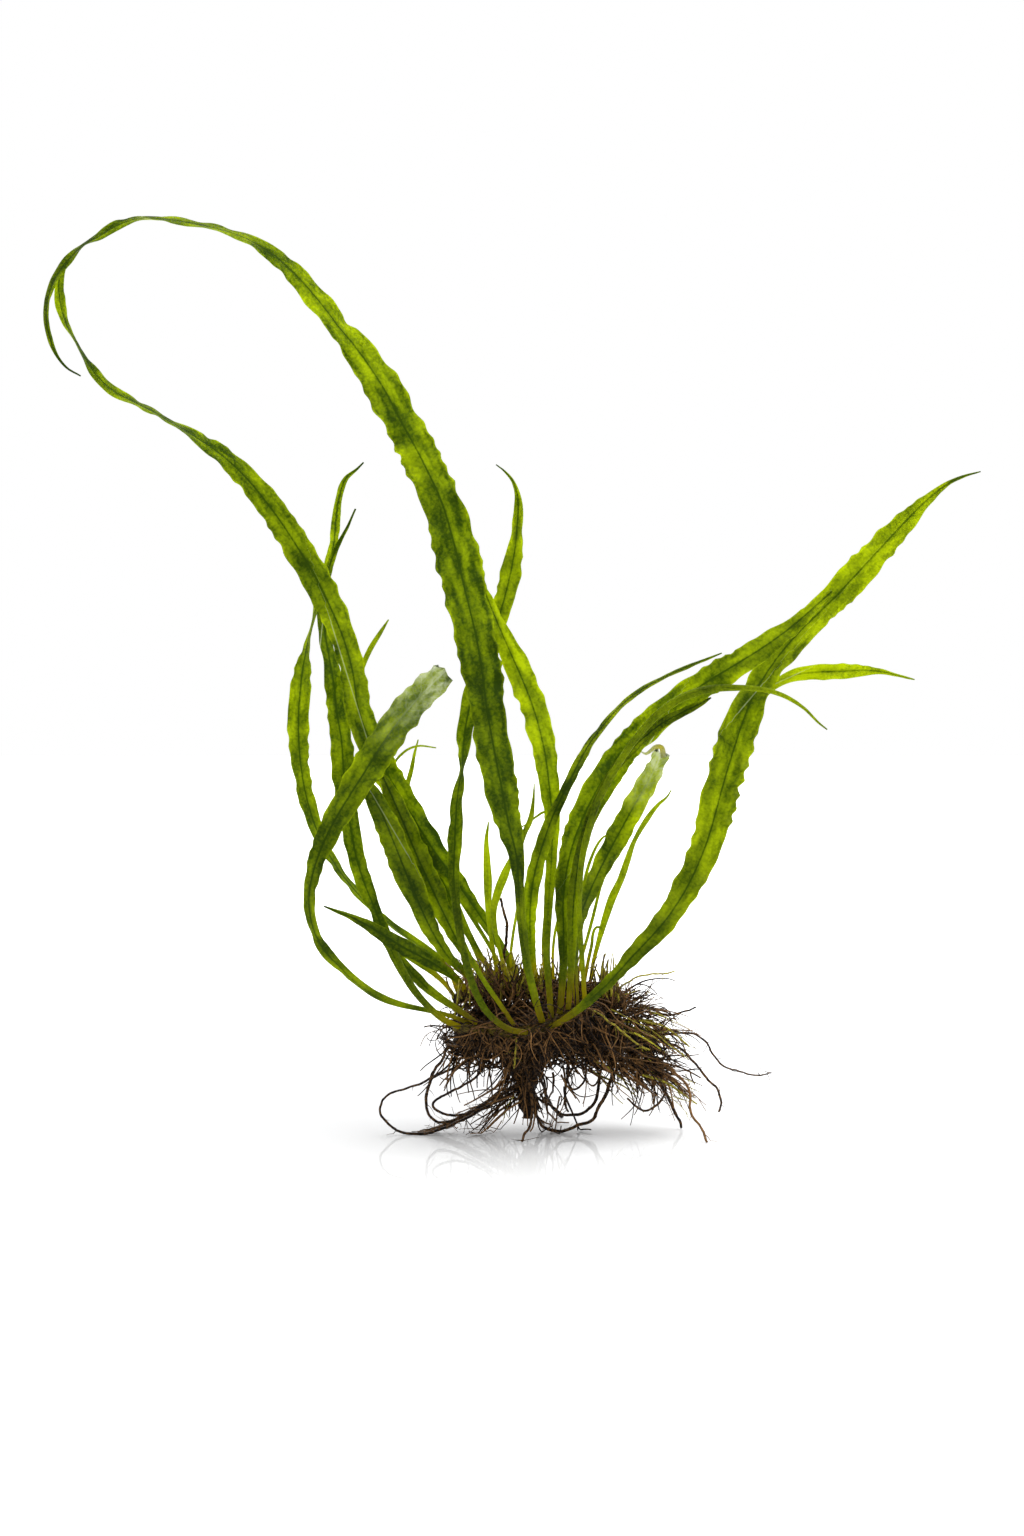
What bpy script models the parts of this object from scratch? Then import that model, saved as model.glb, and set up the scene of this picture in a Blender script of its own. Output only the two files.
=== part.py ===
"""Narrow-leaved java fern, picked with bare roots and standing on them.

Strap-like fronds rise from two creeping rhizomes over a mat of dark roots. Each frond, from the foot
of its stalk to its tip, is one solid, and so is each root that stands clear of the mat.
The tables are in millimetres and the model is in metres, with the origin under the middle of the mat's foot.
"""

import math

import bmesh
import bpy
from mathutils import Vector
from mathutils.bvhtree import BVHTree

MM = 0.001

# Routes are given as they look from the front: across, up, and depth away from the viewer
EYE_DISTANCE = 1250.0
EYE_RISE = math.radians(5.0)
AIM_ACROSS = -9.24
AIM_UP = 103.04
FOOT_ACROSS = -4.0

# What is left between solids that touch in the real plant
GAP = 0.32
# Cosine to the nearest face's normal under which a point counts as inside
INSIDE = -0.5

# Blades: spacing of sections, thickness at the midrib, and the waves along the margins
BLADE_STEP = 5.4
BLADE_THICK = 0.62
STALK_FLATNESS = 0.78
STALK_WIDTH = 2.4
BLADE_WIDTH = 4.2
WAVE_LENGTH = 17.0
WAVE_IN_WIDTH = 0.055
WAVE_IN_DEPTH = 0.5
CHANNEL = 0.10

# Roots and rhizomes, and how many sections the shortest frond or root has
ROOT_STEP = 3.6
ROOT_SIDES = 5
FEWEST_SECTIONS = 8
RHIZOME_STEP = 4.0
RHIZOME_SIDES = 8
RHIZOME_KNOBS = 0.12

# Root mat: sections from left to right as across, up, depth, reach in depth, reach in height
MAT_SIDES = 12
MAT_SECTIONS = (
    (-26.5, 29.0, 0.5, 2.0, 2.0), (-24.5, 28.6, 0.5, 5.5, 4.6), (-20.0, 29.0, 1.0, 8.5, 6.6),
    (-15.0, 30.0, 1.5, 11.0, 8.0), (-9.0, 30.0, 2.0, 12.6, 8.2), (-3.0, 30.0, 2.0, 13.2, 8.4),
    (3.0, 30.2, 2.0, 13.4, 8.2), (9.0, 30.2, 2.0, 13.2, 8.0), (15.0, 29.6, 2.0, 12.4, 8.8),
    (20.0, 28.2, 2.0, 11.0, 9.8), (25.0, 26.8, 2.0, 9.0, 9.4), (30.0, 25.2, 2.0, 6.6, 7.6),
    (33.5, 23.4, 2.0, 4.0, 5.0), (35.0, 22.6, 2.0, 1.8, 2.2),
)
# Column under the mat, from the flat foot up: up, across, depth, reach across, reach in depth
COLUMN_SIDES = 10
COLUMN_SECTIONS = (
    (0.0, -4.0, 0.0, 3.8, 3.4), (3.0, -4.4, 0.0, 3.2, 3.0), (7.0, -5.0, 0.5, 4.2, 3.8),
    (12.0, -5.4, 1.0, 5.4, 4.8), (17.0, -5.6, 1.5, 7.0, 6.4), (21.0, -5.8, 1.8, 10.0, 8.6),
    (26.0, -5.8, 2.0, 8.0, 7.0),
)

# Rhizomes: across, up, depth, radius
RHIZOMES = {
    "rhizome_main": (
        (-25.6, 37.6, 2.6, 1.3), (-23.0, 39.2, 2.8, 2.0), (-17.0, 40.6, 3.4, 2.2), (-9.0, 41.2, 4.6, 2.3),
        (0.0, 41.4, 6.0, 2.3), (8.0, 41.2, 6.2, 2.3), (15.0, 40.8, 5.4, 2.1), (20.5, 39.8, 4.2, 1.5),
    ),
    "rhizome_front": (
        (-25.4, 29.8, -7.0, 1.0), (-22.5, 30.2, -9.6, 1.5), (-16.0, 29.7, -12.6, 1.6),
        (-9.0, 28.9, -14.4, 1.7), (-2.0, 30.0, -14.9, 1.7), (4.0, 32.6, -14.7, 1.7),
        (9.0, 35.0, -14.0, 1.6), (12.6, 37.0, -12.8, 1.1),
    ),
}

# Fronds: across, up, depth, width, turn of the blade in degrees (0 faces the viewer, 90 is edge-on)
FRONDS = {
    "frond_front_arch": (
        (-0.8, 32.0, -16.0, 2.1, 0), (-3.0, 39.5, -18.5, 2.2, 0), (-5.3, 50.0, -20.5, 2.3, 0),
        (-6.5, 60.0, -22.5, 2.6, 20), (-7.2, 70.0, -24.5, 3.2, 30), (-8.0, 79.0, -26.0, 4.8, 25),
        (-10.0, 87.0, -27.0, 7.0, 15), (-11.6, 95.0, -28.0, 8.3, 10), (-13.2, 103.0, -29.0, 9.0, 5),
        (-14.6, 110.0, -30.0, 9.4, 0), (-16.4, 120.0, -31.0, 9.4, -10), (-17.5, 129.0, -32.0, 10.5, -5),
        (-19.3, 140.0, -33.0, 11.0, 0), (-22.4, 153.0, -35.0, 11.2, 5), (-25.5, 166.0, -36.0, 11.2, 0),
        (-29.2, 178.0, -37.0, 10.2, -10), (-34.8, 190.0, -39.0, 10.0, 0), (-40.2, 200.0, -40.0, 9.6, 5),
        (-45.5, 210.0, -41.0, 9.6, 10), (-52.2, 220.0, -42.0, 8.4, 25), (-57.8, 227.0, -42.5, 7.6, 45),
        (-62.6, 233.2, -43.0, 7.4, 35), (-68.6, 240.2, -43.0, 7.0, 42), (-76.0, 247.0, -42.5, 6.4, 52),
        (-85.0, 252.2, -42.0, 6.0, 68), (-95.0, 255.1, -41.0, 5.8, 74), (-105.0, 256.8, -40.0, 5.4, 74),
        (-113.0, 257.2, -39.0, 4.8, 84), (-119.0, 255.6, -38.0, 4.2, 58), (-125.0, 252.1, -37.0, 3.8, 60),
        (-129.6, 249.4, -36.0, 3.4, 76), (-134.0, 245.0, -35.0, 3.2, 50), (-137.2, 240.4, -34.0, 2.8, 50),
        (-139.2, 235.0, -33.0, 2.4, 58), (-139.8, 229.0, -32.0, 2.0, 56), (-138.6, 223.0, -31.0, 1.5, 30),
        (-136.6, 218.4, -30.5, 0.9, 20), (-133.8, 215.0, -30.0, 0.6, 0), (-130.0, 212.8, -29.5, 0.4, 0),
    ),
    "frond_left_arch": (
        (-7.6, 43.0, 5.0, 2.2, 0), (-10.6, 50.0, 4.6, 2.4, 0), (-14.8, 56.8, 4.0, 2.8, 0),
        (-19.2, 63.2, 3.4, 3.6, 0), (-24.6, 71.0, 2.6, 4.8, 0), (-30.6, 79.2, 1.6, 6.0, 0),
        (-36.0, 87.6, 0.4, 6.9, 0), (-41.0, 96.0, -1.0, 7.3, 0), (-45.6, 104.2, -3.0, 7.3, 0),
        (-50.0, 113.0, -5.0, 7.4, 0), (-52.5, 121.0, -7.0, 7.0, 5), (-53.6, 129.0, -9.0, 7.0, 10),
        (-56.0, 138.0, -11.0, 6.8, 0), (-59.6, 147.0, -12.0, 7.4, 0), (-64.2, 156.4, -12.0, 7.8, 0),
        (-70.0, 166.0, -11.0, 7.6, 0), (-76.2, 175.2, -8.0, 7.0, 10), (-83.6, 184.4, -4.0, 6.5, 25),
        (-90.4, 190.8, 0.0, 6.1, 32), (-96.6, 195.2, 3.0, 5.4, 48), (-103.0, 199.2, 7.0, 5.0, 70),
        (-109.2, 202.8, 10.0, 4.8, 70), (-115.2, 205.8, 13.0, 4.6, 60), (-121.0, 209.0, 15.0, 4.2, 46),
        (-125.6, 213.4, 17.0, 4.0, 44), (-128.6, 217.8, 18.0, 3.6, 62), (-131.0, 222.0, 19.0, 3.4, 78),
        (-133.6, 226.8, 19.5, 3.4, 58), (-135.4, 232.4, 20.0, 3.7, 34), (-136.0, 238.0, 20.0, 3.4, 24),
        (-135.2, 243.0, 20.0, 2.4, 20), (-133.0, 247.0, 20.0, 0.7, 0),
    ),
    "frond_far_left": (
        (-24.2, 40.0, 5.6, 1.6, 0), (-27.2, 47.4, 9.4, 1.9, 30), (-33.0, 52.4, 11.6, 2.4, 40),
        (-41.0, 58.0, 14.0, 3.0, 50), (-48.0, 63.6, 17.0, 3.4, 55), (-54.0, 70.0, 20.0, 3.8, 50),
        (-59.4, 77.4, 23.0, 4.0, 45), (-63.6, 85.4, 26.0, 4.6, 35), (-66.6, 94.6, 29.0, 5.0, 20),
        (-68.3, 104.0, 31.5, 5.2, 18), (-69.0, 114.0, 33.0, 6.1, 5), (-68.8, 121.0, 33.5, 6.1, 0),
        (-68.0, 129.0, 33.0, 5.2, 10), (-66.8, 135.4, 31.5, 4.2, 50), (-65.7, 140.6, 29.5, 3.4, 78),
        (-64.6, 145.4, 27.5, 3.2, 68), (-63.0, 151.4, 25.5, 3.2, 40), (-61.0, 158.0, 23.5, 3.2, 30),
        (-59.2, 165.0, 21.5, 3.0, 28), (-58.5, 172.0, 19.5, 2.6, 20), (-57.6, 178.6, 18.0, 2.2, 20),
        (-55.8, 184.0, 17.0, 1.4, 10), (-52.6, 186.8, 16.0, 0.7, 0), (-50.8, 188.6, 15.5, 0.35, 0),
    ),
    "frond_left_wavy": (
        (-24.0, 30.6, -10.4, 1.8, 0), (-28.4, 32.6, -14.0, 2.0, 0), (-32.2, 35.8, -15.2, 2.0, 0),
        (-36.0, 40.0, -14.0, 2.2, 10), (-39.3, 45.0, -11.0, 2.4, 15), (-42.3, 50.8, -7.0, 2.8, 10),
        (-45.0, 57.0, -3.6, 3.4, 10), (-47.4, 63.2, -1.6, 3.7, 15), (-50.2, 70.0, 0.4, 4.6, 10),
        (-52.6, 77.4, 2.4, 4.7, 10), (-54.2, 85.4, 4.4, 5.2, 5), (-55.8, 95.0, 6.4, 5.8, 0),
        (-56.5, 104.0, 8.0, 6.4, 0), (-57.0, 111.0, 9.0, 6.0, 0), (-58.2, 118.6, 9.6, 5.3, 10),
        (-59.1, 126.4, 9.6, 5.2, 0), (-60.4, 134.4, 8.8, 4.0, 20), (-61.6, 141.4, 7.6, 3.8, 15),
        (-62.0, 148.4, 6.6, 3.6, 10), (-61.2, 155.2, 6.0, 2.8, 20), (-59.8, 161.0, 5.6, 2.0, 20),
        (-57.8, 165.8, 5.4, 1.2, 0), (-55.3, 170.6, 5.2, 0.8, 0), (-53.0, 175.6, 5.0, 0.5, 0),
    ),
    "frond_torn": (
        (-21.0, 31.6, -9.4, 1.3, 0), (-27.0, 33.8, -9.0, 1.4, 0), (-33.0, 35.2, -11.6, 1.5, 20),
        (-41.0, 37.0, -17.0, 2.0, 30), (-47.0, 39.4, -21.0, 2.6, 30), (-53.0, 43.6, -25.0, 2.8, 40),
        (-57.6, 47.8, -28.0, 3.2, 30), (-61.6, 52.0, -30.0, 3.4, 20), (-64.3, 57.2, -32.0, 3.2, 40),
        (-65.8, 63.2, -33.0, 3.6, 35), (-65.6, 70.0, -34.0, 4.2, 30), (-63.8, 77.2, -35.0, 5.0, 20),
        (-60.8, 84.6, -35.5, 6.0, 10), (-57.0, 91.6, -36.0, 7.0, 0), (-52.6, 98.6, -36.0, 7.8, 0),
        (-48.4, 105.2, -36.5, 8.4, 0), (-44.4, 111.4, -37.0, 8.2, 0), (-40.0, 117.4, -37.5, 8.2, 0),
        (-35.2, 123.0, -38.0, 7.8, 0), (-30.6, 127.6, -38.5, 7.0, 0), (-27.0, 131.0, -39.0, 4.2, 0),
    ),
    "frond_left_low": (
        (-22.2, 40.6, 0.4, 1.8, 0), (-25.2, 44.4, -5.0, 2.4, 10), (-29.6, 47.4, -9.0, 3.2, 10),
        (-34.2, 50.0, -11.0, 4.0, 5), (-39.2, 52.6, -13.0, 4.2, 0), (-44.2, 55.6, -14.0, 4.0, 0),
        (-49.0, 58.6, -15.0, 3.0, 0), (-53.6, 61.0, -16.0, 1.8, 0), (-58.0, 62.8, -17.0, 1.0, 0),
        (-62.0, 64.4, -17.5, 0.4, 0),
    ),
    "frond_left_inner_1": (
        (-18.4, 42.2, 0.8, 1.8, 0), (-22.6, 45.8, -3.0, 2.2, 0), (-27.0, 50.2, -6.0, 3.0, 0),
        (-30.6, 55.6, -8.0, 4.2, 0), (-33.6, 61.4, -9.0, 5.4, 0), (-36.6, 68.2, -10.0, 6.4, 0),
        (-39.6, 75.4, -11.0, 6.8, 0), (-42.6, 83.0, -12.0, 6.6, 0), (-45.6, 90.2, -13.0, 6.0, 5),
        (-48.6, 96.4, -14.0, 4.2, 15), (-51.0, 101.4, -15.0, 0.9, 20),
    ),
    "frond_left_inner_2": (
        (-15.4, 42.8, 1.6, 1.8, 0), (-19.6, 47.6, 0.0, 2.2, 0), (-23.8, 53.4, -1.0, 3.0, 0),
        (-27.2, 60.0, -2.0, 4.6, 0), (-30.6, 67.0, -3.0, 5.8, 0), (-33.8, 74.0, -4.0, 6.6, 0),
        (-37.0, 81.2, -5.0, 6.3, 0), (-40.0, 88.6, -6.4, 5.6, 0), (-43.0, 95.4, -8.0, 4.2, 0),
        (-46.0, 102.0, -9.0, 0.9, 0),
    ),
    "frond_left_inner_3": (
        (-13.0, 43.2, 6.4, 1.6, 0), (-18.0, 50.4, 7.4, 1.8, 0), (-22.0, 57.6, 7.4, 2.2, 0),
        (-25.4, 64.6, 7.0, 3.0, 0), (-29.0, 72.0, 6.4, 3.8, 0), (-33.0, 80.0, 5.6, 4.0, 0),
        (-37.0, 88.0, 4.8, 3.2, 0), (-40.6, 95.6, 4.0, 0.9, 0),
    ),
    "frond_left_short": (
        (-19.2, 31.6, -11.4, 1.7, 0), (-24.0, 35.2, -8.4, 1.9, 0), (-28.4, 38.0, -6.0, 2.3, 0),
        (-32.2, 40.8, -4.0, 2.7, 0), (-35.6, 44.0, -2.0, 2.9, 0), (-38.8, 47.4, 0.6, 2.7, 0),
        (-42.0, 51.4, 3.4, 1.8, 0), (-45.0, 55.4, 5.6, 0.6, 0),
    ),
    "frond_left_pale": (
        (-25.0, 38.6, 2.6, 1.2, 0), (-28.0, 42.6, 2.6, 1.5, 0), (-31.2, 45.6, 3.6, 1.8, 0),
        (-34.8, 48.0, 5.4, 1.8, 0), (-38.4, 50.0, 7.6, 1.2, 0), (-41.4, 51.4, 9.4, 0.5, 0),
    ),
    "frond_centre_twisted": (
        (-5.0, 29.0, -16.6, 1.7, 0), (-9.0, 29.6, -18.6, 1.8, 0), (-12.6, 31.4, -19.0, 1.8, 0),
        (-16.6, 35.2, -19.6, 1.9, 0), (-19.8, 41.2, -20.0, 2.0, 0), (-22.2, 49.0, -20.0, 2.1, 0),
        (-23.8, 57.0, -19.6, 2.2, 0), (-25.0, 66.0, -18.6, 2.4, 0), (-25.4, 74.0, -17.0, 3.4, 25),
        (-25.2, 81.0, -15.6, 4.2, 25), (-24.9, 88.0, -14.0, 4.2, 30), (-24.2, 96.0, -12.0, 4.0, 45),
        (-23.0, 103.4, -10.0, 3.8, 68), (-22.7, 108.4, -9.0, 4.2, 40), (-22.2, 114.2, -8.0, 4.8, 20),
        (-20.8, 121.0, -6.0, 5.0, 20), (-18.6, 129.0, -3.4, 5.0, 0), (-15.8, 137.0, -0.8, 5.0, 0),
        (-13.0, 145.0, 2.0, 5.0, 0), (-11.0, 152.0, 4.0, 5.2, 0), (-9.3, 159.0, 6.0, 5.6, 10),
        (-8.1, 165.6, 8.0, 4.4, 30), (-7.6, 172.0, 10.0, 3.2, 30), (-7.5, 178.0, 11.0, 2.0, 10),
        (-8.8, 183.0, 12.0, 1.0, 0), (-11.4, 186.2, 12.6, 0.5, 0), (-13.7, 188.0, 13.0, 0.35, 0),
    ),
    "frond_centre_bright": (
        (1.7, 33.0, -15.4, 1.8, 0), (1.1, 42.0, -13.0, 1.9, 0), (0.5, 50.0, -9.0, 2.0, 0),
        (0.6, 58.0, -5.0, 2.2, 0), (1.0, 66.0, -2.0, 2.6, 0), (1.6, 74.0, 0.0, 3.0, 0),
        (2.0, 82.0, 0.6, 3.3, 0), (1.9, 90.0, 0.0, 4.0, 0), (1.2, 98.0, -2.0, 5.2, 0),
        (0.2, 106.0, -4.0, 6.0, 0), (-1.3, 113.0, -6.0, 6.8, 0), (-3.3, 120.0, -8.0, 7.0, 0),
        (-6.0, 127.0, -9.0, 6.8, 0), (-9.0, 134.0, -10.0, 6.4, 10), (-12.0, 141.0, -11.0, 5.0, 30),
        (-14.5, 147.0, -12.0, 4.0, 35), (-17.0, 153.0, -13.0, 2.0, 20), (-19.0, 158.0, -13.6, 0.6, 0),
    ),
    "frond_right_narrow": (
        (-2.8, 43.4, 5.0, 1.9, 0), (-3.6, 50.0, 2.4, 2.4, 0), (-4.2, 58.0, -1.0, 3.2, 0),
        (-4.0, 66.0, -5.0, 4.0, 0), (-2.8, 74.0, -8.0, 4.2, 0), (-0.8, 81.0, -10.0, 4.0, 0),
        (1.6, 88.0, -10.0, 3.4, 10), (4.6, 94.6, -8.0, 2.8, 20), (7.3, 100.0, -5.0, 2.8, 25),
        (9.8, 105.0, -2.0, 3.0, 20), (12.6, 109.8, 1.0, 2.6, 40), (16.0, 114.4, 4.0, 2.4, 50),
        (20.5, 119.6, 7.0, 2.2, 50), (26.0, 124.2, 10.0, 2.0, 50), (33.0, 128.2, 12.0, 1.6, 50),
        (41.0, 131.8, 13.0, 1.2, 40), (49.5, 135.2, 14.0, 0.4, 0),
    ),
    "frond_right_broad": (
        (4.1, 34.2, -15.0, 1.9, 0), (4.8, 42.0, -13.0, 2.1, 0), (5.2, 50.0, -10.0, 2.7, 0),
        (5.2, 58.0, -8.0, 3.6, 0), (5.1, 65.6, -6.0, 4.5, 0), (5.9, 73.4, -4.4, 5.4, 0),
        (7.6, 81.0, -4.0, 6.2, 0), (10.2, 88.2, -5.0, 7.2, 0), (13.8, 95.6, -6.0, 7.6, 0),
        (17.6, 101.8, -8.0, 7.4, 0), (22.0, 107.6, -10.0, 7.4, 0), (27.0, 113.2, -12.0, 7.4, 0),
        (33.0, 118.4, -14.0, 7.2, 0), (40.0, 123.6, -16.0, 7.4, 0), (47.0, 128.2, -17.0, 7.6, 0),
        (54.0, 132.4, -18.0, 7.0, 0), (61.0, 136.8, -19.0, 6.2, 0), (68.0, 141.8, -20.0, 4.8, 0),
        (74.6, 147.4, -20.0, 3.2, 0), (80.4, 152.6, -20.0, 0.9, 0),
    ),
    "frond_right_long": (
        (1.6, 30.6, -16.6, 1.5, 0), (5.0, 32.4, -18.4, 1.8, 0), (9.0, 35.2, -19.4, 2.1, 0),
        (13.0, 38.6, -19.6, 2.6, 0), (17.0, 42.2, -19.0, 2.9, 0), (20.5, 45.9, -18.0, 3.2, 0),
        (24.0, 49.8, -16.6, 4.0, 0), (28.0, 54.0, -14.6, 4.8, 0), (32.5, 58.8, -12.0, 5.3, 15),
        (36.5, 64.2, -9.0, 5.7, 15), (40.2, 70.4, -6.0, 6.8, 10), (43.5, 77.6, -3.0, 7.3, 0),
        (46.2, 85.0, -1.0, 7.7, 0), (48.3, 92.6, 1.0, 9.0, 0), (50.6, 101.0, 3.0, 9.1, 0),
        (53.2, 109.4, 5.0, 9.3, 0), (55.8, 117.0, 7.0, 8.6, 10), (59.0, 124.2, 9.0, 7.4, 35),
        (63.4, 131.4, 11.0, 7.4, 32), (68.8, 138.4, 13.0, 7.6, 22), (75.0, 144.8, 15.0, 6.8, 18),
        (81.0, 150.6, 16.0, 6.9, 12), (86.0, 156.0, 17.0, 7.3, 8), (91.0, 161.4, 18.0, 7.3, 5),
        (96.0, 166.8, 19.0, 6.3, 0), (101.0, 172.2, 20.0, 5.0, 0), (106.0, 177.2, 21.0, 3.2, 0),
        (111.0, 181.4, 22.0, 1.5, 0), (116.0, 184.3, 23.0, 0.8, 0), (122.0, 186.0, 24.0, 0.35, 0),
    ),
    "frond_right_drooping": (
        (11.2, 37.0, -13.6, 1.4, 0), (10.5, 48.0, -15.4, 1.5, 0), (9.8, 58.0, -17.0, 1.5, 0),
        (9.6, 68.0, -18.4, 1.6, 0), (10.8, 80.0, -19.6, 1.7, 0), (14.2, 92.0, -20.4, 1.8, 0),
        (19.6, 102.6, -21.6, 1.9, 0), (26.0, 112.0, -23.4, 2.0, 0), (32.5, 118.8, -25.0, 2.2, 15),
        (39.0, 122.9, -26.0, 2.4, 30), (46.0, 125.1, -26.0, 2.1, 20), (54.0, 125.5, -25.6, 1.7, 0),
        (61.0, 125.0, -25.0, 1.4, 0), (67.0, 123.2, -24.0, 1.2, 0), (72.5, 119.8, -23.0, 0.9, 0),
        (76.5, 115.8, -22.4, 0.6, 0), (79.0, 113.8, -22.0, 0.35, 0),
    ),
    "frond_right_folded": (
        (6.5, 35.4, -14.6, 1.7, 0), (7.2, 45.0, -14.0, 2.0, 0), (7.6, 55.0, -13.0, 2.7, 0),
        (7.9, 63.6, -12.4, 3.4, 0), (8.8, 73.0, -12.4, 3.3, 0), (11.2, 84.0, -13.4, 2.9, 0),
        (14.9, 94.2, -14.0, 2.9, 30), (19.8, 102.8, -15.4, 3.0, 40), (25.6, 109.4, -17.4, 3.2, 40),
        (32.0, 114.8, -19.8, 3.2, 40), (38.0, 118.3, -21.4, 2.7, 30), (43.0, 120.8, -22.2, 1.7, 15),
        (46.5, 122.8, -22.6, 0.4, 0),
    ),
    "frond_right_small": (
        (17.2, 42.0, 5.6, 1.5, 0), (21.4, 47.4, 12.0, 1.6, 0), (28.2, 55.0, 18.0, 1.7, 0),
        (35.4, 64.8, 23.0, 1.8, 0), (41.6, 76.4, 27.0, 1.9, 0), (46.4, 89.4, 30.0, 2.0, 0),
        (50.6, 102.4, 32.0, 2.0, 0), (55.0, 113.6, 33.0, 2.1, 0), (59.2, 121.2, 33.0, 2.2, 0),
        (64.2, 126.2, 32.0, 2.5, 20), (70.0, 129.0, 30.4, 3.5, 15), (76.4, 129.9, 28.6, 4.4, 0),
        (83.0, 130.1, 27.0, 4.2, 0), (89.0, 130.4, 25.4, 3.0, 0), (94.2, 130.0, 24.2, 1.6, 0),
        (99.0, 128.9, 23.2, 0.8, 0), (103.5, 127.8, 22.4, 0.35, 0),
    ),
    "frond_worn_tip": (
        (8.9, 36.4, -13.6, 1.7, 0), (8.4, 46.0, -9.0, 1.8, 0), (8.5, 54.0, -4.0, 2.4, 0),
        (9.7, 61.0, 1.0, 3.3, 0), (12.0, 67.2, 6.0, 4.2, 0), (14.8, 73.4, 10.0, 5.0, 5),
        (18.0, 79.8, 14.0, 5.7, 0), (21.5, 86.2, 17.0, 6.1, 0), (25.0, 92.6, 19.0, 6.1, 0),
        (28.5, 98.6, 20.4, 5.8, 0), (31.2, 103.8, 21.2, 5.0, 0), (33.2, 108.8, 21.6, 2.6, 0),
    ),
    "frond_hidden_right": (
        (5.6, 43.4, 8.0, 0.9, 0), (8.2, 52.0, 13.0, 0.9, 0), (9.7, 60.0, 17.0, 0.9, 0),
        (10.4, 67.0, 20.0, 1.0, 0), (11.6, 73.6, 22.4, 1.0, 0), (13.5, 79.2, 24.4, 0.9, 0),
        (15.8, 83.2, 25.6, 0.7, 0), (18.2, 84.8, 26.4, 0.35, 0),
    ),
    "frond_slim": (
        (12.6, 42.6, 6.6, 1.1, 0), (13.4, 48.0, 6.2, 1.2, 0), (14.9, 54.0, 4.4, 1.5, 0),
        (16.6, 60.0, 2.0, 2.0, 0), (18.8, 66.6, 0.0, 2.3, 0), (21.2, 71.8, -2.0, 2.0, 0),
        (23.0, 77.0, -4.0, 1.9, 0), (25.0, 82.6, -5.0, 1.3, 0), (28.2, 88.2, -6.0, 1.6, 0),
        (31.5, 92.6, -7.0, 1.1, 0), (34.2, 95.0, -8.0, 0.6, 0), (35.4, 97.0, -8.0, 0.35, 0),
    ),
    "frond_hidden_left_1": (
        (-10.2, 43.2, 6.8, 1.1, 0), (-15.4, 53.0, 11.4, 1.2, 0), (-21.2, 62.4, 12.4, 1.3, 0),
        (-28.6, 74.0, 11.6, 1.4, 0), (-36.0, 86.0, 10.0, 1.5, 0), (-43.0, 98.4, 7.0, 1.6, 0),
        (-49.0, 110.4, 3.4, 1.7, 0), (-52.0, 120.0, 0.4, 1.8, 0), (-52.5, 127.0, -1.4, 1.8, 0),
        (-50.9, 132.0, -2.4, 1.5, 0), (-48.8, 136.6, -3.0, 1.5, 0), (-46.2, 140.8, -3.4, 1.2, 0),
        (-43.8, 144.6, -3.8, 0.35, 0),
    ),
    "frond_hidden_left_2": (
        (-16.2, 42.6, 5.4, 0.8, 0), (-19.0, 50.0, 12.6, 0.8, 0), (-23.6, 60.0, 15.6, 0.9, 0),
        (-30.0, 71.6, 16.4, 0.9, 0), (-36.0, 83.6, 15.6, 0.9, 0), (-40.6, 94.0, 13.6, 0.9, 0),
        (-42.6, 103.0, 11.4, 0.8, 0), (-39.6, 107.4, 9.6, 0.7, 0), (-35.6, 109.2, 8.4, 0.6, 0),
        (-30.5, 108.7, 7.4, 0.35, 0),
    ),
    "frond_hidden_left_3": (
        (-19.4, 42.0, 5.4, 0.8, 0), (-21.4, 49.0, 15.0, 0.8, 0), (-24.4, 58.0, 20.0, 0.9, 0),
        (-28.6, 67.6, 22.0, 0.9, 0), (-33.6, 78.6, 22.6, 1.0, 0), (-37.4, 89.0, 21.6, 1.1, 0),
        (-38.6, 97.0, 20.0, 1.4, 0), (-37.3, 103.0, 19.0, 1.3, 0), (-36.5, 107.2, 18.4, 0.8, 0),
        (-35.5, 111.0, 18.0, 0.35, 0),
    ),
    "frond_small_centre": (
        (-5.3, 43.0, 4.2, 1.0, 0), (-6.2, 52.0, -7.0, 1.0, 0), (-6.8, 62.0, -13.0, 1.1, 0),
        (-7.4, 72.0, -16.6, 1.2, 0), (-7.3, 79.0, -18.0, 1.4, 0), (-6.0, 84.2, -18.0, 1.5, 0),
        (-4.1, 88.6, -18.0, 1.6, 0), (-3.3, 93.6, -18.0, 0.9, 0), (-3.0, 98.6, -18.0, 0.35, 0),
    ),
    "frond_small_crossing": (
        (-0.2, 43.6, 7.4, 0.8, 0), (-0.6, 54.0, 10.0, 0.8, 0), (0.4, 66.0, 10.6, 0.8, 0),
        (1.7, 78.0, 9.6, 0.9, 0), (1.9, 86.0, 7.6, 0.9, 0), (0.2, 90.6, 4.6, 0.8, 0),
        (-2.6, 89.3, 0.6, 0.7, 0), (-5.0, 87.4, -2.6, 0.5, 0), (-6.9, 86.4, -4.6, 0.35, 0),
    ),
    "plantlet_leaf_1": (
        (-12.9, 43.0, 1.8, 1.2, 0), (-14.2, 50.0, -1.4, 1.2, 0), (-15.3, 57.0, -2.4, 1.4, 0),
        (-15.9, 64.0, -3.0, 1.8, 0), (-16.0, 71.0, -3.0, 2.4, 0), (-16.3, 78.0, -3.0, 1.9, 0),
        (-16.4, 83.0, -3.0, 1.2, 0), (-15.8, 88.0, -3.0, 0.35, 0),
    ),
    "plantlet_leaf_2": (
        (-10.7, 43.2, 2.4, 1.2, 0), (-12.2, 50.0, -3.4, 1.2, 0), (-13.8, 57.0, -6.0, 1.4, 0),
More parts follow.
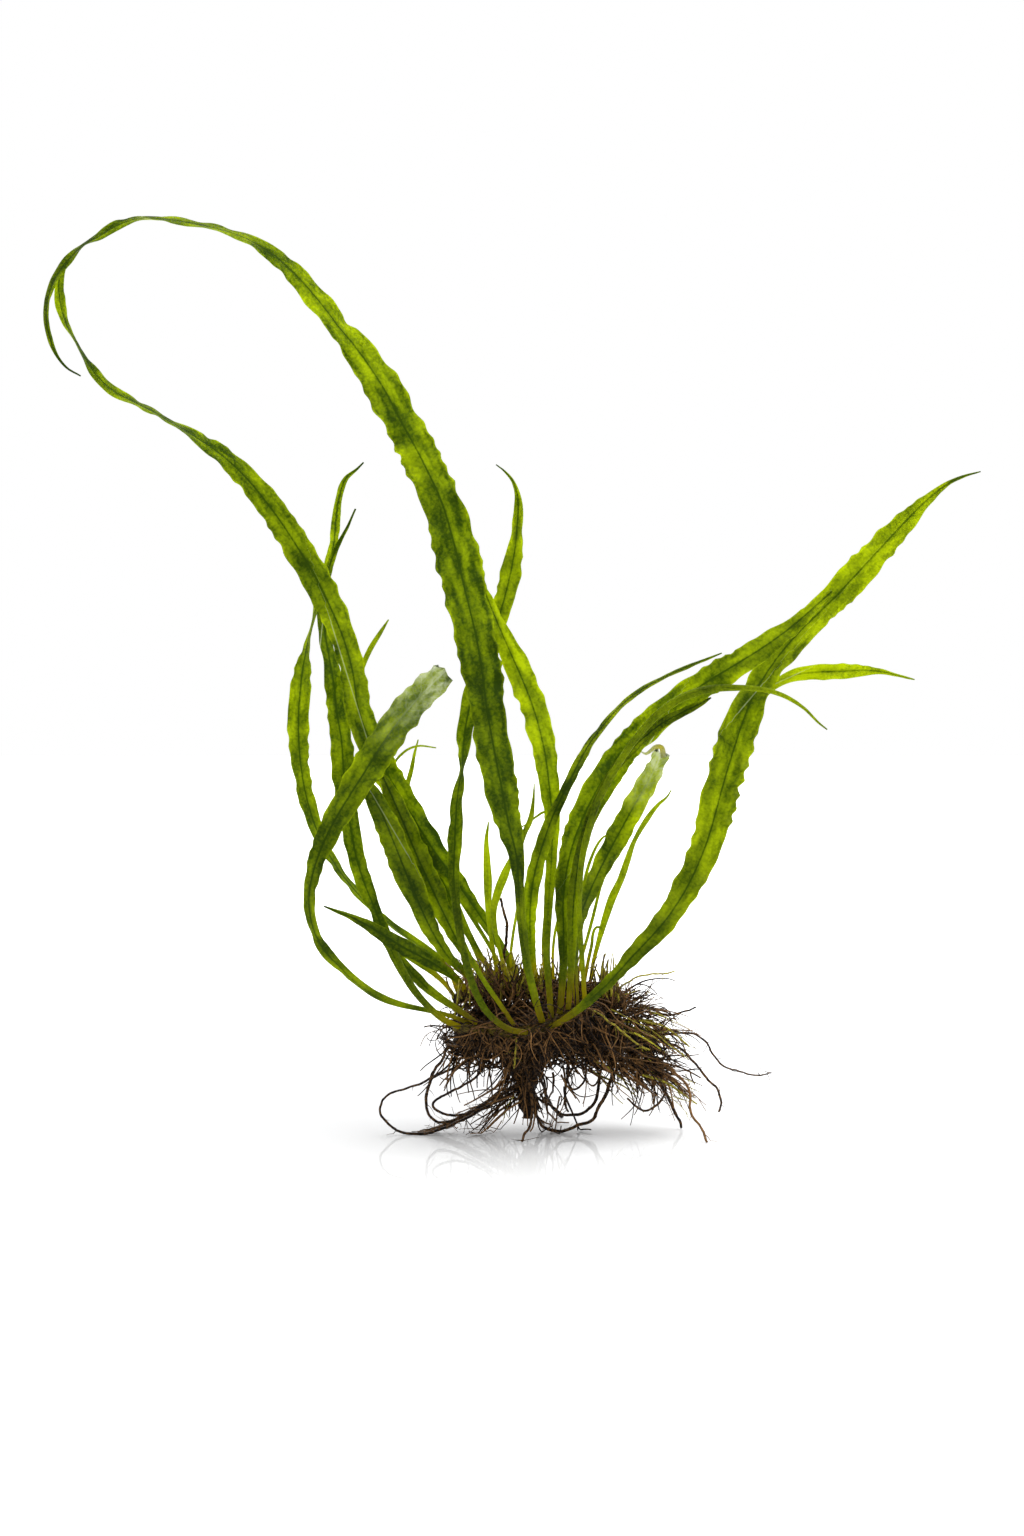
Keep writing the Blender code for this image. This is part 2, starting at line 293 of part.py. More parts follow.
        (-14.4, 63.0, -7.4, 1.8, 0), (-13.1, 68.6, -8.4, 2.4, 0), (-11.3, 73.2, -9.2, 2.4, 0),
        (-9.7, 77.2, -10.0, 1.4, 0), (-8.6, 80.2, -10.6, 0.4, 0),
    ),
    "young_frond": (
        (11.0, 42.8, 3.2, 1.1, 0), (12.1, 49.0, 1.4, 1.1, 0), (13.1, 53.6, 0.2, 1.0, 0),
        (13.4, 56.4, -0.4, 0.9, 0), (14.3, 58.4, -0.6, 0.8, 0), (15.9, 58.2, -0.6, 0.7, 0),
        (16.4, 56.6, -0.6, 0.5, 0),
    ),
    "stalk_right": (
        (8.8, 43.2, 7.6, 1.0, 0), (10.3, 50.0, 9.6, 1.0, 0), (12.0, 56.0, 11.2, 1.0, 0),
        (13.6, 62.0, 13.2, 1.0, 0), (14.9, 67.4, 15.4, 0.9, 0), (16.2, 72.4, 17.6, 0.8, 0),
        (17.6, 77.0, 20.0, 0.4, 0),
    ),
    "stalk_centre_1": (
        (2.4, 43.6, 7.6, 0.9, 0), (2.2, 51.0, 6.6, 0.9, 0), (2.9, 57.6, 5.8, 0.8, 0),
        (4.2, 63.0, 5.0, 0.4, 0),
    ),
    "stalk_centre_2": (
        (-9.0, 43.2, 3.0, 0.9, 0), (-9.6, 50.0, 0.0, 0.9, 0), (-9.0, 56.0, -2.4, 0.9, 0),
        (-8.2, 61.0, -4.4, 0.8, 0), (-7.6, 66.0, -6.0, 0.4, 0),
    ),
    "stalk_left_front": (
        (-8.6, 31.0, -15.0, 1.3, 0), (-12.4, 36.6, -16.2, 1.4, 0), (-16.8, 43.0, -15.8, 1.4, 0),
        (-20.6, 49.6, -14.4, 1.2, 0), (-23.0, 55.4, -13.0, 0.6, 0),
    ),
}

# Roots that stand clear of the mat: across, up, depth, radius
ROOTS = {
    "root_left_loop": (
        (-18.0, 23.0, 0.0, 0.40), (-26.0, 18.8, -2.0, 0.40), (-31.0, 16.6, -2.6, 0.38),
        (-35.0, 14.8, -3.0, 0.36), (-39.0, 13.2, -3.4, 0.34), (-43.0, 12.0, -3.8, 0.34),
        (-45.6, 10.0, -4.2, 0.34), (-46.2, 7.0, -4.6, 0.36), (-44.6, 4.0, -4.8, 0.38),
        (-41.5, 1.7, -5.0, 0.40), (-37.5, 0.6, -5.0, 0.42), (-33.0, 0.8, -5.0, 0.45),
        (-27.5, 2.6, -4.4, 0.45), (-22.0, 5.2, -3.8, 0.45), (-16.0, 8.4, -3.4, 0.45), (-7.0, 13.0, -1.6, 0.45),
    ),
    "root_left_bundle": (
        (-5.0, 14.4, 1.0, 0.95), (-12.0, 11.2, 0.6, 0.95), (-18.0, 8.0, 0.2, 0.90),
        (-24.0, 4.8, -0.4, 0.80), (-29.0, 2.4, -1.2, 0.70), (-34.0, 1.1, -1.8, 0.55), (-38.5, 0.8, -2.2, 0.35),
    ),
    "root_left_inner_loop": (
        (-21.0, 27.5, -4.0, 0.40), (-26.8, 25.4, -6.0, 0.42), (-28.8, 21.6, -6.6, 0.44),
        (-31.6, 17.0, -6.8, 0.46), (-32.8, 13.0, -7.2, 0.48), (-33.3, 9.4, -7.4, 0.46),
        (-32.4, 5.8, -7.4, 0.42), (-29.8, 3.8, -7.4, 0.42), (-26.0, 4.3, -7.2, 0.42),
        (-20.0, 7.2, -6.6, 0.42), (-13.0, 11.6, -5.0, 0.42), (-6.0, 15.4, -2.6, 0.42),
    ),
    "root_left_curl": (
        (-15.0, 24.0, -5.0, 0.38), (-19.0, 17.0, -9.4, 0.38), (-24.0, 13.4, -10.4, 0.38),
        (-28.0, 11.4, -10.6, 0.38), (-31.0, 9.6, -10.6, 0.40), (-31.2, 7.9, -10.6, 0.40),
        (-29.4, 6.6, -10.6, 0.40), (-26.0, 5.9, -10.4, 0.40), (-22.0, 6.3, -10.0, 0.38),
        (-17.0, 9.0, -9.0, 0.36), (-11.0, 14.0, -7.4, 0.36), (-6.0, 19.0, -4.0, 0.36),
    ),
    "root_left_high": (
        (-20.0, 29.0, -3.0, 0.26), (-29.0, 30.8, -4.6, 0.26), (-34.0, 30.6, -6.0, 0.22),
    ),
    "root_right_loop": (
        (15.0, 28.0, 3.0, 0.60), (18.6, 18.6, 4.0, 0.60), (17.7, 13.6, 3.0, 0.58), (16.0, 9.4, 1.6, 0.56),
        (14.7, 7.4, 0.8, 0.54), (13.9, 5.2, 0.2, 0.52), (12.2, 4.2, -0.4, 0.50), (9.8, 3.4, -0.8, 0.50),
        (7.4, 2.0, -1.4, 0.50), (4.2, 1.2, -1.6, 0.50), (0.9, 1.8, -1.0, 0.50), (-1.6, 3.8, 1.4, 0.50),
        (-3.0, 7.0, 3.0, 0.50), (-4.0, 12.0, 3.0, 0.50),
    ),
    "root_right_inner": (
        (13.0, 28.0, 4.0, 0.50), (15.0, 18.0, 8.0, 0.50), (14.6, 12.0, 8.6, 0.50), (13.0, 8.4, 8.4, 0.50),
        (10.4, 6.4, 7.8, 0.48), (7.6, 5.8, 7.2, 0.46), (4.8, 6.2, 6.4, 0.44), (1.6, 8.4, 5.4, 0.42),
        (-4.0, 12.0, 3.0, 0.42),
    ),
    "root_right_upright": (
        (7.0, 27.0, -3.0, 0.42), (6.2, 18.0, -4.2, 0.42), (5.6, 12.0, -4.6, 0.40), (5.8, 8.6, -4.6, 0.38),
        (6.6, 6.8, -4.6, 0.30),
    ),
    "root_right_ring": (
        (9.4, 27.0, -5.0, 0.34), (7.6, 19.2, -7.0, 0.34), (6.4, 15.8, -7.4, 0.34), (7.6, 13.2, -7.6, 0.34),
        (9.6, 13.6, -7.6, 0.34), (11.2, 16.0, -7.4, 0.34), (11.4, 19.4, -7.0, 0.34), (12.4, 27.0, -5.0, 0.34),
    ),
    "root_front_foot": (
        (-5.6, 20.0, -4.0, 0.45), (-3.6, 9.0, -8.0, 0.45), (-4.0, 4.4, -11.4, 0.42), (-5.4, 1.0, -14.6, 0.40),
        (-6.6, -1.7, -17.0, 0.36),
    ),
    "root_back_foot": (
        (-3.0, 27.0, 9.0, 0.55), (-1.6, 17.6, 15.0, 0.55), (0.6, 11.0, 18.6, 0.52), (2.8, 7.2, 21.6, 0.48),
        (5.0, 5.4, 24.4, 0.42),
    ),
    "root_right_trailing": (
        (28.0, 28.0, 3.0, 0.38), (34.0, 29.4, 7.0, 0.36), (38.0, 29.1, 9.0, 0.34), (42.0, 28.5, 10.0, 0.34),
        (45.2, 26.0, 11.0, 0.32), (47.2, 22.6, 12.0, 0.32), (49.8, 19.9, 13.0, 0.30), (53.6, 18.3, 14.0, 0.28),
        (58.6, 17.1, 15.0, 0.26), (63.5, 17.6, 16.0, 0.22),
    ),
    "root_right_arching": (
        (28.0, 27.0, -2.0, 0.40), (37.0, 25.2, -4.6, 0.38), (41.5, 20.8, -5.4, 0.38), (45.0, 16.6, -6.0, 0.36),
        (47.6, 13.8, -6.0, 0.36), (49.2, 10.4, -6.0, 0.34), (49.0, 8.2, -6.0, 0.32), (48.5, 6.8, -6.0, 0.28),
    ),
    "root_right_hook": (
        (28.0, 24.0, 4.0, 0.52), (32.0, 15.8, 6.6, 0.52), (34.2, 11.0, 6.4, 0.50), (36.2, 7.0, 5.8, 0.48),
        (38.0, 3.6, 5.2, 0.44), (38.3, 1.9, 5.0, 0.40),
    ),
    "root_right_foot": (
        (29.0, 23.0, -2.0, 0.45), (37.4, 17.0, -7.4, 0.42), (40.3, 12.5, -9.4, 0.42), (40.7, 8.4, -11.4, 0.40),
        (41.3, 6.0, -12.6, 0.40), (43.0, 3.0, -14.8, 0.38), (44.6, 0.2, -17.0, 0.38), (45.6, -2.0, -18.4, 0.36),
    ),
    "root_right_low_ring": (
        (29.0, 21.0, -0.6, 0.36), (33.6, 14.4, -1.2, 0.36), (33.4, 11.0, -1.2, 0.36), (31.0, 8.4, -1.2, 0.36),
        (28.2, 7.2, -1.2, 0.36), (25.4, 8.4, -1.2, 0.34), (23.0, 10.6, -1.2, 0.30),
    ),
    "root_right_bundle": (
        (28.0, 22.0, 3.0, 0.95), (35.0, 15.4, 3.6, 0.85), (39.0, 12.2, 3.6, 0.65), (42.2, 10.8, 3.6, 0.35),
    ),
    "root_right_yellow": (
        (11.6, 36.0, -13.2, 0.38), (15.4, 34.0, -15.0, 0.38), (20.0, 30.6, -15.0, 0.38),
        (24.5, 26.8, -14.0, 0.36), (29.2, 24.0, -12.4, 0.30),
    ),
    "root_right_green": (
        (22.0, 32.0, -3.0, 0.45), (31.0, 31.6, -5.4, 0.42), (36.0, 28.8, -6.0, 0.38), (40.4, 25.2, -6.0, 0.30),
    ),
    "root_right_tip": (
        (22.0, 32.0, 3.0, 0.36), (31.0, 34.2, 6.0, 0.36), (35.5, 34.0, 7.4, 0.34), (39.6, 35.0, 8.4, 0.30),
        (42.2, 36.3, 9.0, 0.26),
    ),
    "root_right_upper": (
        (19.0, 40.4, 4.0, 0.38), (25.0, 44.0, 3.4, 0.36), (30.0, 45.3, 4.0, 0.34), (34.0, 45.4, 4.6, 0.32),
        (36.3, 46.1, 5.0, 0.26),
    ),
    "root_centre_pale": (
        (-8.4, 28.8, -14.4, 0.36), (-7.9, 25.0, -15.6, 0.36), (-8.3, 22.2, -14.8, 0.34), (-8.7, 19.2, -13.6, 0.28),
    ),
    "root_upright": (
        (-11.6, 42.0, 4.4, 0.26), (-11.3, 52.0, 2.6, 0.26), (-10.6, 58.0, 1.4, 0.26), (-11.6, 63.0, 0.8, 0.24),
        (-12.2, 66.6, 0.4, 0.22),
    ),
}

# Colours, linear
GREEN_DEEP = (0.055, 0.115, 0.006)
GREEN_LIT = (0.150, 0.250, 0.012)
GREEN_YOUNG = (0.300, 0.340, 0.030)
BROWN_ROOT = (0.018, 0.011, 0.008)
OLIVE_ROOT = (0.160, 0.120, 0.020)
OLIVE_RHIZOME = (0.090, 0.075, 0.018)
BRIGHT_FRONDS = ("frond_centre_bright", "frond_right_long", "frond_far_left", "frond_left_arch",
                 "frond_front_arch", "frond_right_small", "frond_torn", "frond_worn_tip")
YOUNG_FRONDS = ("frond_slim", "plantlet_leaf_1", "plantlet_leaf_2", "young_frond", "stalk_right",
                "frond_left_pale", "stalk_centre_1", "stalk_centre_2")
OLIVE_ROOTS = ("root_right_yellow", "root_right_green", "root_centre_pale", "root_right_upper")


def seen(across, up, depth):
    """Point, in millimetres, that stands at the given depth and looks to be at (across, up) from the front."""
    eye = Vector((AIM_ACROSS, -EYE_DISTANCE * math.cos(EYE_RISE), AIM_UP + EYE_DISTANCE * math.sin(EYE_RISE)))
    lift = up - AIM_UP
    mark = Vector((across, lift * math.sin(EYE_RISE), AIM_UP + lift * math.cos(EYE_RISE)))
    sight = mark - eye
    place = eye + sight * ((depth - eye.y) / sight.y)
    return place - Vector((FOOT_ACROSS, 0.0, 0.0))


def smooth_route(stations):
    """Function of the distance along the stations: it gives the place and the other values there."""
    knots = [list(seen(*station[:3])) + [float(value) for value in station[3:]] for station in stations]
    marks = [0.0]
    for before, after in zip(knots, knots[1:]):
        marks.append(marks[-1] + (Vector(after[:3]) - Vector(before[:3])).length)

    def slope(index, axis):
        first = max(index - 1, 0)
        last = min(index + 1, len(knots) - 1)
        return (knots[last][axis] - knots[first][axis]) / (marks[last] - marks[first])

    def at(distance):
        index = 0
        while index < len(marks) - 2 and distance > marks[index + 1]:
            index += 1
        span = marks[index + 1] - marks[index]
        t = (distance - marks[index]) / span
        values = []
        for axis in range(len(knots[0])):
            start = knots[index][axis]
            end = knots[index + 1][axis]
            rise = slope(index, axis) * span
            fall = slope(index + 1, axis) * span
            blend = 3.0 * t * t - 2.0 * t ** 3
            value = start + (end - start) * blend
            value += rise * (t ** 3 - 2.0 * t * t + t) + fall * (t ** 3 - t * t)
            values.append(value)
        return Vector(values[:3]), values[3:]

    return at, marks[-1]


def tangent_at(route, length, distance):
    """Direction of the route at a distance along it."""
    ahead = route(min(distance + 0.5, length))[0]
    behind = route(max(distance - 0.5, 0.0))[0]
    return (ahead - behind).normalized()


def blade_section(route, length, distance, phase):
    """Four points round a blade or its stalk: left margin, midrib towards the viewer, right margin, back."""
    place, (width, turn) = route(distance)
    along = tangent_at(route, length, distance)
    face = Vector((0.0, -1.0, 0.0))
    face = (face - along * face.dot(along)).normalized()
    side = along.cross(face)
    angle = math.radians(turn)
    side, face = (side * math.cos(angle) + face * math.sin(angle),
                  face * math.cos(angle) - side * math.sin(angle))
    flat = min(max((width - STALK_WIDTH) / (BLADE_WIDTH - STALK_WIDTH), 0.0), 1.0)
    thick = (1.0 - flat) * STALK_FLATNESS * min(width, STALK_WIDTH) + flat * BLADE_THICK
    wave = 2.0 * math.pi * distance / WAVE_LENGTH + phase
    left = side * (-0.5 * width * (1.0 + flat * WAVE_IN_WIDTH * math.sin(1.3 * wave)))
    right = side * (0.5 * width * (1.0 + flat * WAVE_IN_WIDTH * math.sin(1.3 * wave + 2.0)))
    left += face * flat * (CHANNEL * 0.5 * width + WAVE_IN_DEPTH * math.sin(wave))
    right += face * flat * (CHANNEL * 0.5 * width + WAVE_IN_DEPTH * math.sin(wave + 2.4))
    return [place + left, place + face * thick / 2.0, place + right, place - face * thick / 2.0]


def round_section(route, length, distance, sides, knobs=0.0):
    """Points round a root or a rhizome, never lower than the surface that the plant stands on."""
    place, (radius,) = route(distance)
    along = tangent_at(route, length, distance)
    upward = Vector((0.0, 0.0, 1.0)) if abs(along.z) < 0.8 else Vector((0.0, 1.0, 0.0))
    side = along.cross(upward).normalized()
    upward = side.cross(along)
    swell = 1.0 + knobs * math.sin(2.1 * distance)
    points = []
    for step in range(sides):
        angle = 2.0 * math.pi * (step + 0.5) / sides
        points.append(place + (side * math.cos(angle) + upward * math.sin(angle)) * radius * swell)
    lowest = min(point.z for point in points)
    if lowest < 0.0:
        points = [point - Vector((0.0, 0.0, lowest)) for point in points]
    return points


def solid_from_rings(rings):
    """Closed mesh through rings of as many points each, capped at both ends."""
    shape = bmesh.new()
    loops = [[shape.verts.new(point * MM) for point in ring] for ring in rings]
    count = len(loops[0])
    for ring, after in zip(loops, loops[1:]):
        for step in range(count):
            following = (step + 1) % count
            shape.faces.new((ring[step], ring[following], after[following], after[step]))
    shape.faces.new(loops[0][::-1])
    shape.faces.new(loops[-1])
    bmesh.ops.triangulate(shape, faces=shape.faces[:])
    bmesh.ops.recalc_face_normals(shape, faces=shape.faces[:])
    return shape


def place_object(name, shape, material):
    """Put a finished shape into the scene as a named object with its material."""
    mesh = bpy.data.meshes.new(name)
    shape.to_mesh(mesh)
    shape.free()
    mesh.materials.append(material)
    mesh.shade_smooth()
    mesh.set_sharp_from_angle(angle=math.radians(50.0))
    item = bpy.data.objects.new(name, mesh)
    bpy.context.collection.objects.link(item)
    return item


def make_material(name, colour, roughness):
    """Plain living tissue: no metal, a little gloss."""
    material = bpy.data.materials.new(name)
    material.use_nodes = True
    surface = material.node_tree.nodes["Principled BSDF"]
    surface.inputs["Base Color"].default_value = (*colour, 1.0)
    surface.inputs["Roughness"].default_value = roughness
    surface.inputs["Metallic"].default_value = 0.0
    return material


def surface_of(item):
    """Search tree of an object's evaluated surface, in metres."""
    return BVHTree.FromObject(item, bpy.context.evaluated_depsgraph_get())


def clear_of(points, surfaces):
    """True where every point, in millimetres, is outside the surfaces by the gap."""
    for point in points:
        for tree in surfaces:
            spot, normal, _, distance = tree.find_nearest(point * MM)
            if distance < GAP * MM or (point * MM - spot).dot(normal) < INSIDE * distance:
                return False
    return True


def clear_stretch(length, section, surfaces):
    """First and last distance between which a piece stands clear of what it grows from."""
    start = 0.0
    while start < length and not clear_of(section(start), surfaces):
        start += 0.1
    end = length
    while end > start and not clear_of(section(end), surfaces):
        end -= 0.1
    return start, end


def grow(name, section, length, surfaces, spacing, material):
    """Build one frond or root from its sections over the stretch that stands clear."""
    start, end = clear_stretch(length, section, surfaces)
    count = max(FEWEST_SECTIONS, round((end - start) / spacing))
    rings = [section(start + (end - start) * step / count) for step in range(count + 1)]
    return place_object(name, solid_from_rings(rings), material)


def build_mat(material):
    """Root mat as one lump, with the column that it stands on joined to it."""
    rings = []
    for index, (across, up, depth, reach_depth, reach_up) in enumerate(MAT_SECTIONS):
        centre = seen(across, up, depth)
        ring = []
        for step in range(MAT_SIDES):
            angle = 2.0 * math.pi * step / MAT_SIDES
            lump = 1.0 + 0.05 * math.sin(3.0 * angle + 1.7 * index) + 0.035 * math.sin(5.0 * angle - 0.9 * index)
            ring.append(centre + Vector((0.0, math.cos(angle) * reach_depth, math.sin(angle) * reach_up)) * lump)
        rings.append(ring)
    mat = place_object("root_mat", solid_from_rings(rings), material)

    rings = []
    for index, (up, across, depth, reach_across, reach_depth) in enumerate(COLUMN_SECTIONS):
        centre = Vector((across - FOOT_ACROSS, depth, up))
        ring = []
        for step in range(COLUMN_SIDES):
            angle = 2.0 * math.pi * (step + 0.37 * index) / COLUMN_SIDES
            lump = 1.0 + 0.05 * math.sin(3.0 * angle + index)
            ring.append(centre + Vector((math.cos(angle) * reach_across, math.sin(angle) * reach_depth, 0.0)) * lump)
        rings.append(ring)
    column = place_object("column_shape", solid_from_rings(rings), material)
    column.hide_render = True
    column.display_type = "WIRE"

    join = mat.modifiers.new("join column", "BOOLEAN")
    join.operation = "UNION"
    join.solver = "EXACT"
    join.object = column
    return mat


def build_rhizomes(material):
    """The two creeping stems, slightly knobbly where old fronds stood."""
    stems = []
    for name, stations in RHIZOMES.items():
        route, length = smooth_route(stations)
        count = round(length / RHIZOME_STEP)
        rings = []
        for step in range(count + 1):
            rings.append(round_section(route, length, length * step / count, RHIZOME_SIDES, RHIZOME_KNOBS))
        stems.append(place_object(name, solid_from_rings(rings), material))
    return stems


def build_fronds(surfaces):
    """Every frond, from the rhizome that it grows from to its tip."""
    for number, (name, stations) in enumerate(FRONDS.items()):
        route, length = smooth_route(stations)
        colour = GREEN_DEEP
        if name in BRIGHT_FRONDS:
            colour = GREEN_LIT
        if name in YOUNG_FRONDS:
            colour = GREEN_YOUNG

        def section(distance, route=route, length=length, phase=1.9 * number):
            return blade_section(route, length, distance, phase)

        grow(name, section, length, surfaces, BLADE_STEP, make_material(name, colour, 0.45))


def build_roots(surfaces):
    """Every root that stands clear of the mat."""
    for name, stations in ROOTS.items():
        route, length = smooth_route(stations)
        colour = OLIVE_ROOT if name in OLIVE_ROOTS else BROWN_ROOT

        def section(distance, route=route, length=length):
            return round_section(route, length, distance, ROOT_SIDES)

        grow(name, section, length, surfaces, ROOT_STEP, make_material(name, colour, 0.7))


for leftover in list(bpy.data.objects):
    bpy.data.objects.remove(leftover)

stem_pieces = build_rhizomes(make_material("rhizome", OLIVE_RHIZOME, 0.6))
mat_piece = build_mat(make_material("root_mat", BROWN_ROOT, 0.85))
bpy.context.view_layer.update()
carriers = [surface_of(stem) for stem in stem_pieces] + [surface_of(mat_piece)]
build_fronds(carriers)
build_roots(carriers)
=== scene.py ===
"""Narrow-leaved java fern, lifted from the water with bare roots and standing on them.

The plant is put together from the rhizomes outwards: rhizomes, root mat, roots, fronds, young leaves.
Routes are in millimetres as they look from the front: across, up, and depth away from the viewer.
"""

import math
import random

import bpy
import numpy as np
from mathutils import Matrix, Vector, noise


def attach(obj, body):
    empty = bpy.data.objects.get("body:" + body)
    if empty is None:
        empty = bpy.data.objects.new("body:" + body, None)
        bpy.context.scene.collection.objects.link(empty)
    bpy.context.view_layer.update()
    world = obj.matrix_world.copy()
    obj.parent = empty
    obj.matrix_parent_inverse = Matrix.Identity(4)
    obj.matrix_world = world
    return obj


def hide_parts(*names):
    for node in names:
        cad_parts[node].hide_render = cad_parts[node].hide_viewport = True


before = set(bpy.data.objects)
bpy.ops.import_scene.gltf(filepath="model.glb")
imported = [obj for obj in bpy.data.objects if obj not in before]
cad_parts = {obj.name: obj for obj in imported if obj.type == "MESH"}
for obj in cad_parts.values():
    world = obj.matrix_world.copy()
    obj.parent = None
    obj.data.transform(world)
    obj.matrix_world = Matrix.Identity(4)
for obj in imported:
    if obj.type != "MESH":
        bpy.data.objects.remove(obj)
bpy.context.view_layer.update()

# Rhizomes: two creeping stems, 2 to 4 mm thick, from which every stalk and root grows.
# They are green-brown, knobbly where old fronds stood, and covered in small brown scales.
# They lie on the root mat and in front of it, held by their own roots.
MM = 0.001
FULL_TURN = 2.0 * math.pi
EYE_DISTANCE = 1250.0
EYE_RISE = math.radians(5.0)
AIM_ACROSS = -9.24
AIM_UP = 103.04
EYE = Vector((AIM_ACROSS, -EYE_DISTANCE * math.cos(EYE_RISE), AIM_UP + EYE_DISTANCE * math.sin(EYE_RISE)))
FOOT = Vector((-4.0, 0.0, 0.0))
RHIZOME_STATIONS = {
    # across, up, depth, radius
    "rhizome_main": (
        (-25.6, 37.6, 2.6, 1.3), (-23, 39.2, 2.8, 2), (-17, 40.6, 3.4, 2.2), (-9, 41.2, 4.6, 2.3),
        (0, 41.4, 6, 2.3), (8, 41.2, 6.2, 2.3), (15, 40.8, 5.4, 2.1), (20.5, 39.8, 4.2, 1.5),
    ),
    "rhizome_front": (
        (-25.4, 29.8, -7, 1), (-22.5, 30.2, -9.6, 1.5), (-16, 29.7, -12.6, 1.6), (-9, 28.9, -14.4, 1.7),
        (-2, 30, -14.9, 1.7), (4, 32.6, -14.7, 1.7), (9, 35, -14, 1.6), (12.6, 37, -12.8, 1.1),
    ),
}
RHIZOME_DARK = (0.014, 0.008, 0.003)
RHIZOME_LIGHT = (0.200, 0.150, 0.020)
RHIZOME_STEP = 0.5
RHIZOME_SIDES = 20
KNOB_SHARE = 0.13
KNOB_GRAIN = 0.5
SCALE_COUNT = 420
SCALE_LENGTH = 1.5
SCALE_WIDTH = 0.5
SCALE_LIFT = (0.3, 0.7)
SCALE_TUCK = 0.92
SCALE_TONE = (0.0, 0.7)
BARK_GLOSS = 0.12


def seen(across, up, depth):
    """Point, in millimetres, at the given depth that looks to be at (across, up) from the front."""
    lift = up - AIM_UP
    mark = Vector((across, lift * math.sin(EYE_RISE), AIM_UP + lift * math.cos(EYE_RISE)))
    sight = mark - EYE
    return EYE + sight * ((depth - EYE.y) / sight.y) - FOOT


def smooth_route(stations):
    """Function that gives the place and the other values at a distance along the stations, and its length."""
    knots = np.array([list(seen(*station[:3])) + list(station[3:]) for station in stations])
    marks = np.concatenate([[0.0], np.cumsum(np.linalg.norm(np.diff(knots[:, :3], axis=0), axis=1))])
    slopes = np.empty_like(knots)
    slopes[1:-1] = (knots[2:] - knots[:-2]) / (marks[2:] - marks[:-2])[:, None]
    slopes[0] = (knots[1] - knots[0]) / (marks[1] - marks[0])
    slopes[-1] = (knots[-1] - knots[-2]) / (marks[-1] - marks[-2])

    def at(distance):
        index = int(np.clip(np.searchsorted(marks, distance) - 1, 0, len(marks) - 2))
        span = marks[index + 1] - marks[index]
        t = (distance - marks[index]) / span
        blend = 3.0 * t * t - 2.0 * t ** 3
        values = knots[index] + (knots[index + 1] - knots[index]) * blend
        values = values + slopes[index] * span * (t ** 3 - 2.0 * t * t + t)
        values = values + slopes[index + 1] * span * (t ** 3 - t * t)
        return Vector(values[:3]), values[3:]

    return at, float(marks[-1])


def draw(chance, *spans):
    """One random number from each span."""
    return [chance.uniform(*span) for span in spans]


def tube_faces(first, rings, sides, flipped=False):
    """Faces of a closed tube of rings of points; flipped where the rings run the other way round."""
    faces = []
    for ring in range(first, first + (rings - 1) * sides, sides):
        for step in range(sides):
            here = ring + step
            beside = ring + (step + 1) % sides
            if flipped:
                faces.append((here, here + sides, beside + sides, beside))
            else:
                faces.append((here, beside, beside + sides, here + sides))
    start = range(first, first + sides)
    end = range(first + (rings - 1) * sides, first + rings * sides)
    faces.append(tuple(start if flipped else reversed(start)))
    faces.append(tuple(reversed(end) if flipped else end))
    return faces


def make_piece(name, places, faces, marks, material, node=None):
    """Turn places and faces in millimetres into a smooth piece that rides on the plant."""
    mesh = bpy.data.meshes.new(name)
    mesh.from_pydata([tuple(place * MM) for place in places], [], faces)
    for mark, values in marks.items():
        layer = mesh.attributes.new(mark, "FLOAT", "POINT")
        layer.data.foreach_set("value", np.array(values, dtype=np.float32))
    mesh.materials.append(material)
    mesh.shade_smooth()
    mesh.validate()
    piece = bpy.data.objects.new(name, mesh)
    bpy.context.scene.collection.objects.link(piece)
    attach(piece, "root")
    if node:
        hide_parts(node)


class Bundle:
    """Many closed tubes that make one piece, each with its own tone."""

    def __init__(self):
        self.places = []
        self.faces = []
        self.tones = []

    def add_tube(self, points, radii, sides, tone):
        """Add one closed tube through the points."""
        self.faces += tube_faces(len(self.places), len(points), sides)
        self.tones += [tone] * (len(points) * sides)
        last = len(points) - 1
        side = (points[1] - points[0]).normalized().orthogonal().normalized()
        for index, point in enumerate(points):
            along = (points[min(index + 1, last)] - points[max(index - 1, 0)]).normalized()
            side = (side - along * side.dot(along)).normalized()
            other = along.cross(side)
            for step in range(sides):
                angle = FULL_TURN * step / sides
                reach = side * math.cos(angle) + other * math.sin(angle)
                self.places.append(point + reach * radii[index])

    def finish(self, name, material, node=None):
        """Make the piece."""
        make_piece(name, self.places, self.faces, {"tone": self.tones}, material, node)


def put(tree, kind, inputs, **settings):
    """Add a shader node whose inputs are plain values or other nodes' outputs."""
    node = tree.nodes.new(kind)
    for name, value in settings.items():
        setattr(node, name, value)
    for key, value in inputs.items():
        if isinstance(value, bpy.types.NodeSocket):
            tree.links.new(value, node.inputs[key])
        else:
            node.inputs[key].default_value = value
    return node


def calc(tree, operation, first, second=0.0):
    """Output of a Math node."""
    return put(tree, "ShaderNodeMath", {0: first, 1: second}, operation=operation).outputs[0]


def clamp(tree, value):
    """Output held between 0 and 1."""
    return put(tree, "ShaderNodeClamp", {"Value": value}).outputs[0]


def step_up(tree, value, low, high, bottom=0.0, top=1.0):
    """Output that rises smoothly from bottom to top as the value goes from low to high."""
    inputs = {"Value": value, "From Min": low, "From Max": high, "To Min": bottom, "To Max": top}
    return put(tree, "ShaderNodeMapRange", inputs, interpolation_type="SMOOTHSTEP").outputs["Result"]


def mix_colour(tree, share, first, second):
    """Output of a colour mix."""
    return put(tree, "ShaderNodeMix", {"Factor": share, 6: first, 7: second}, data_type="RGBA").outputs[2]


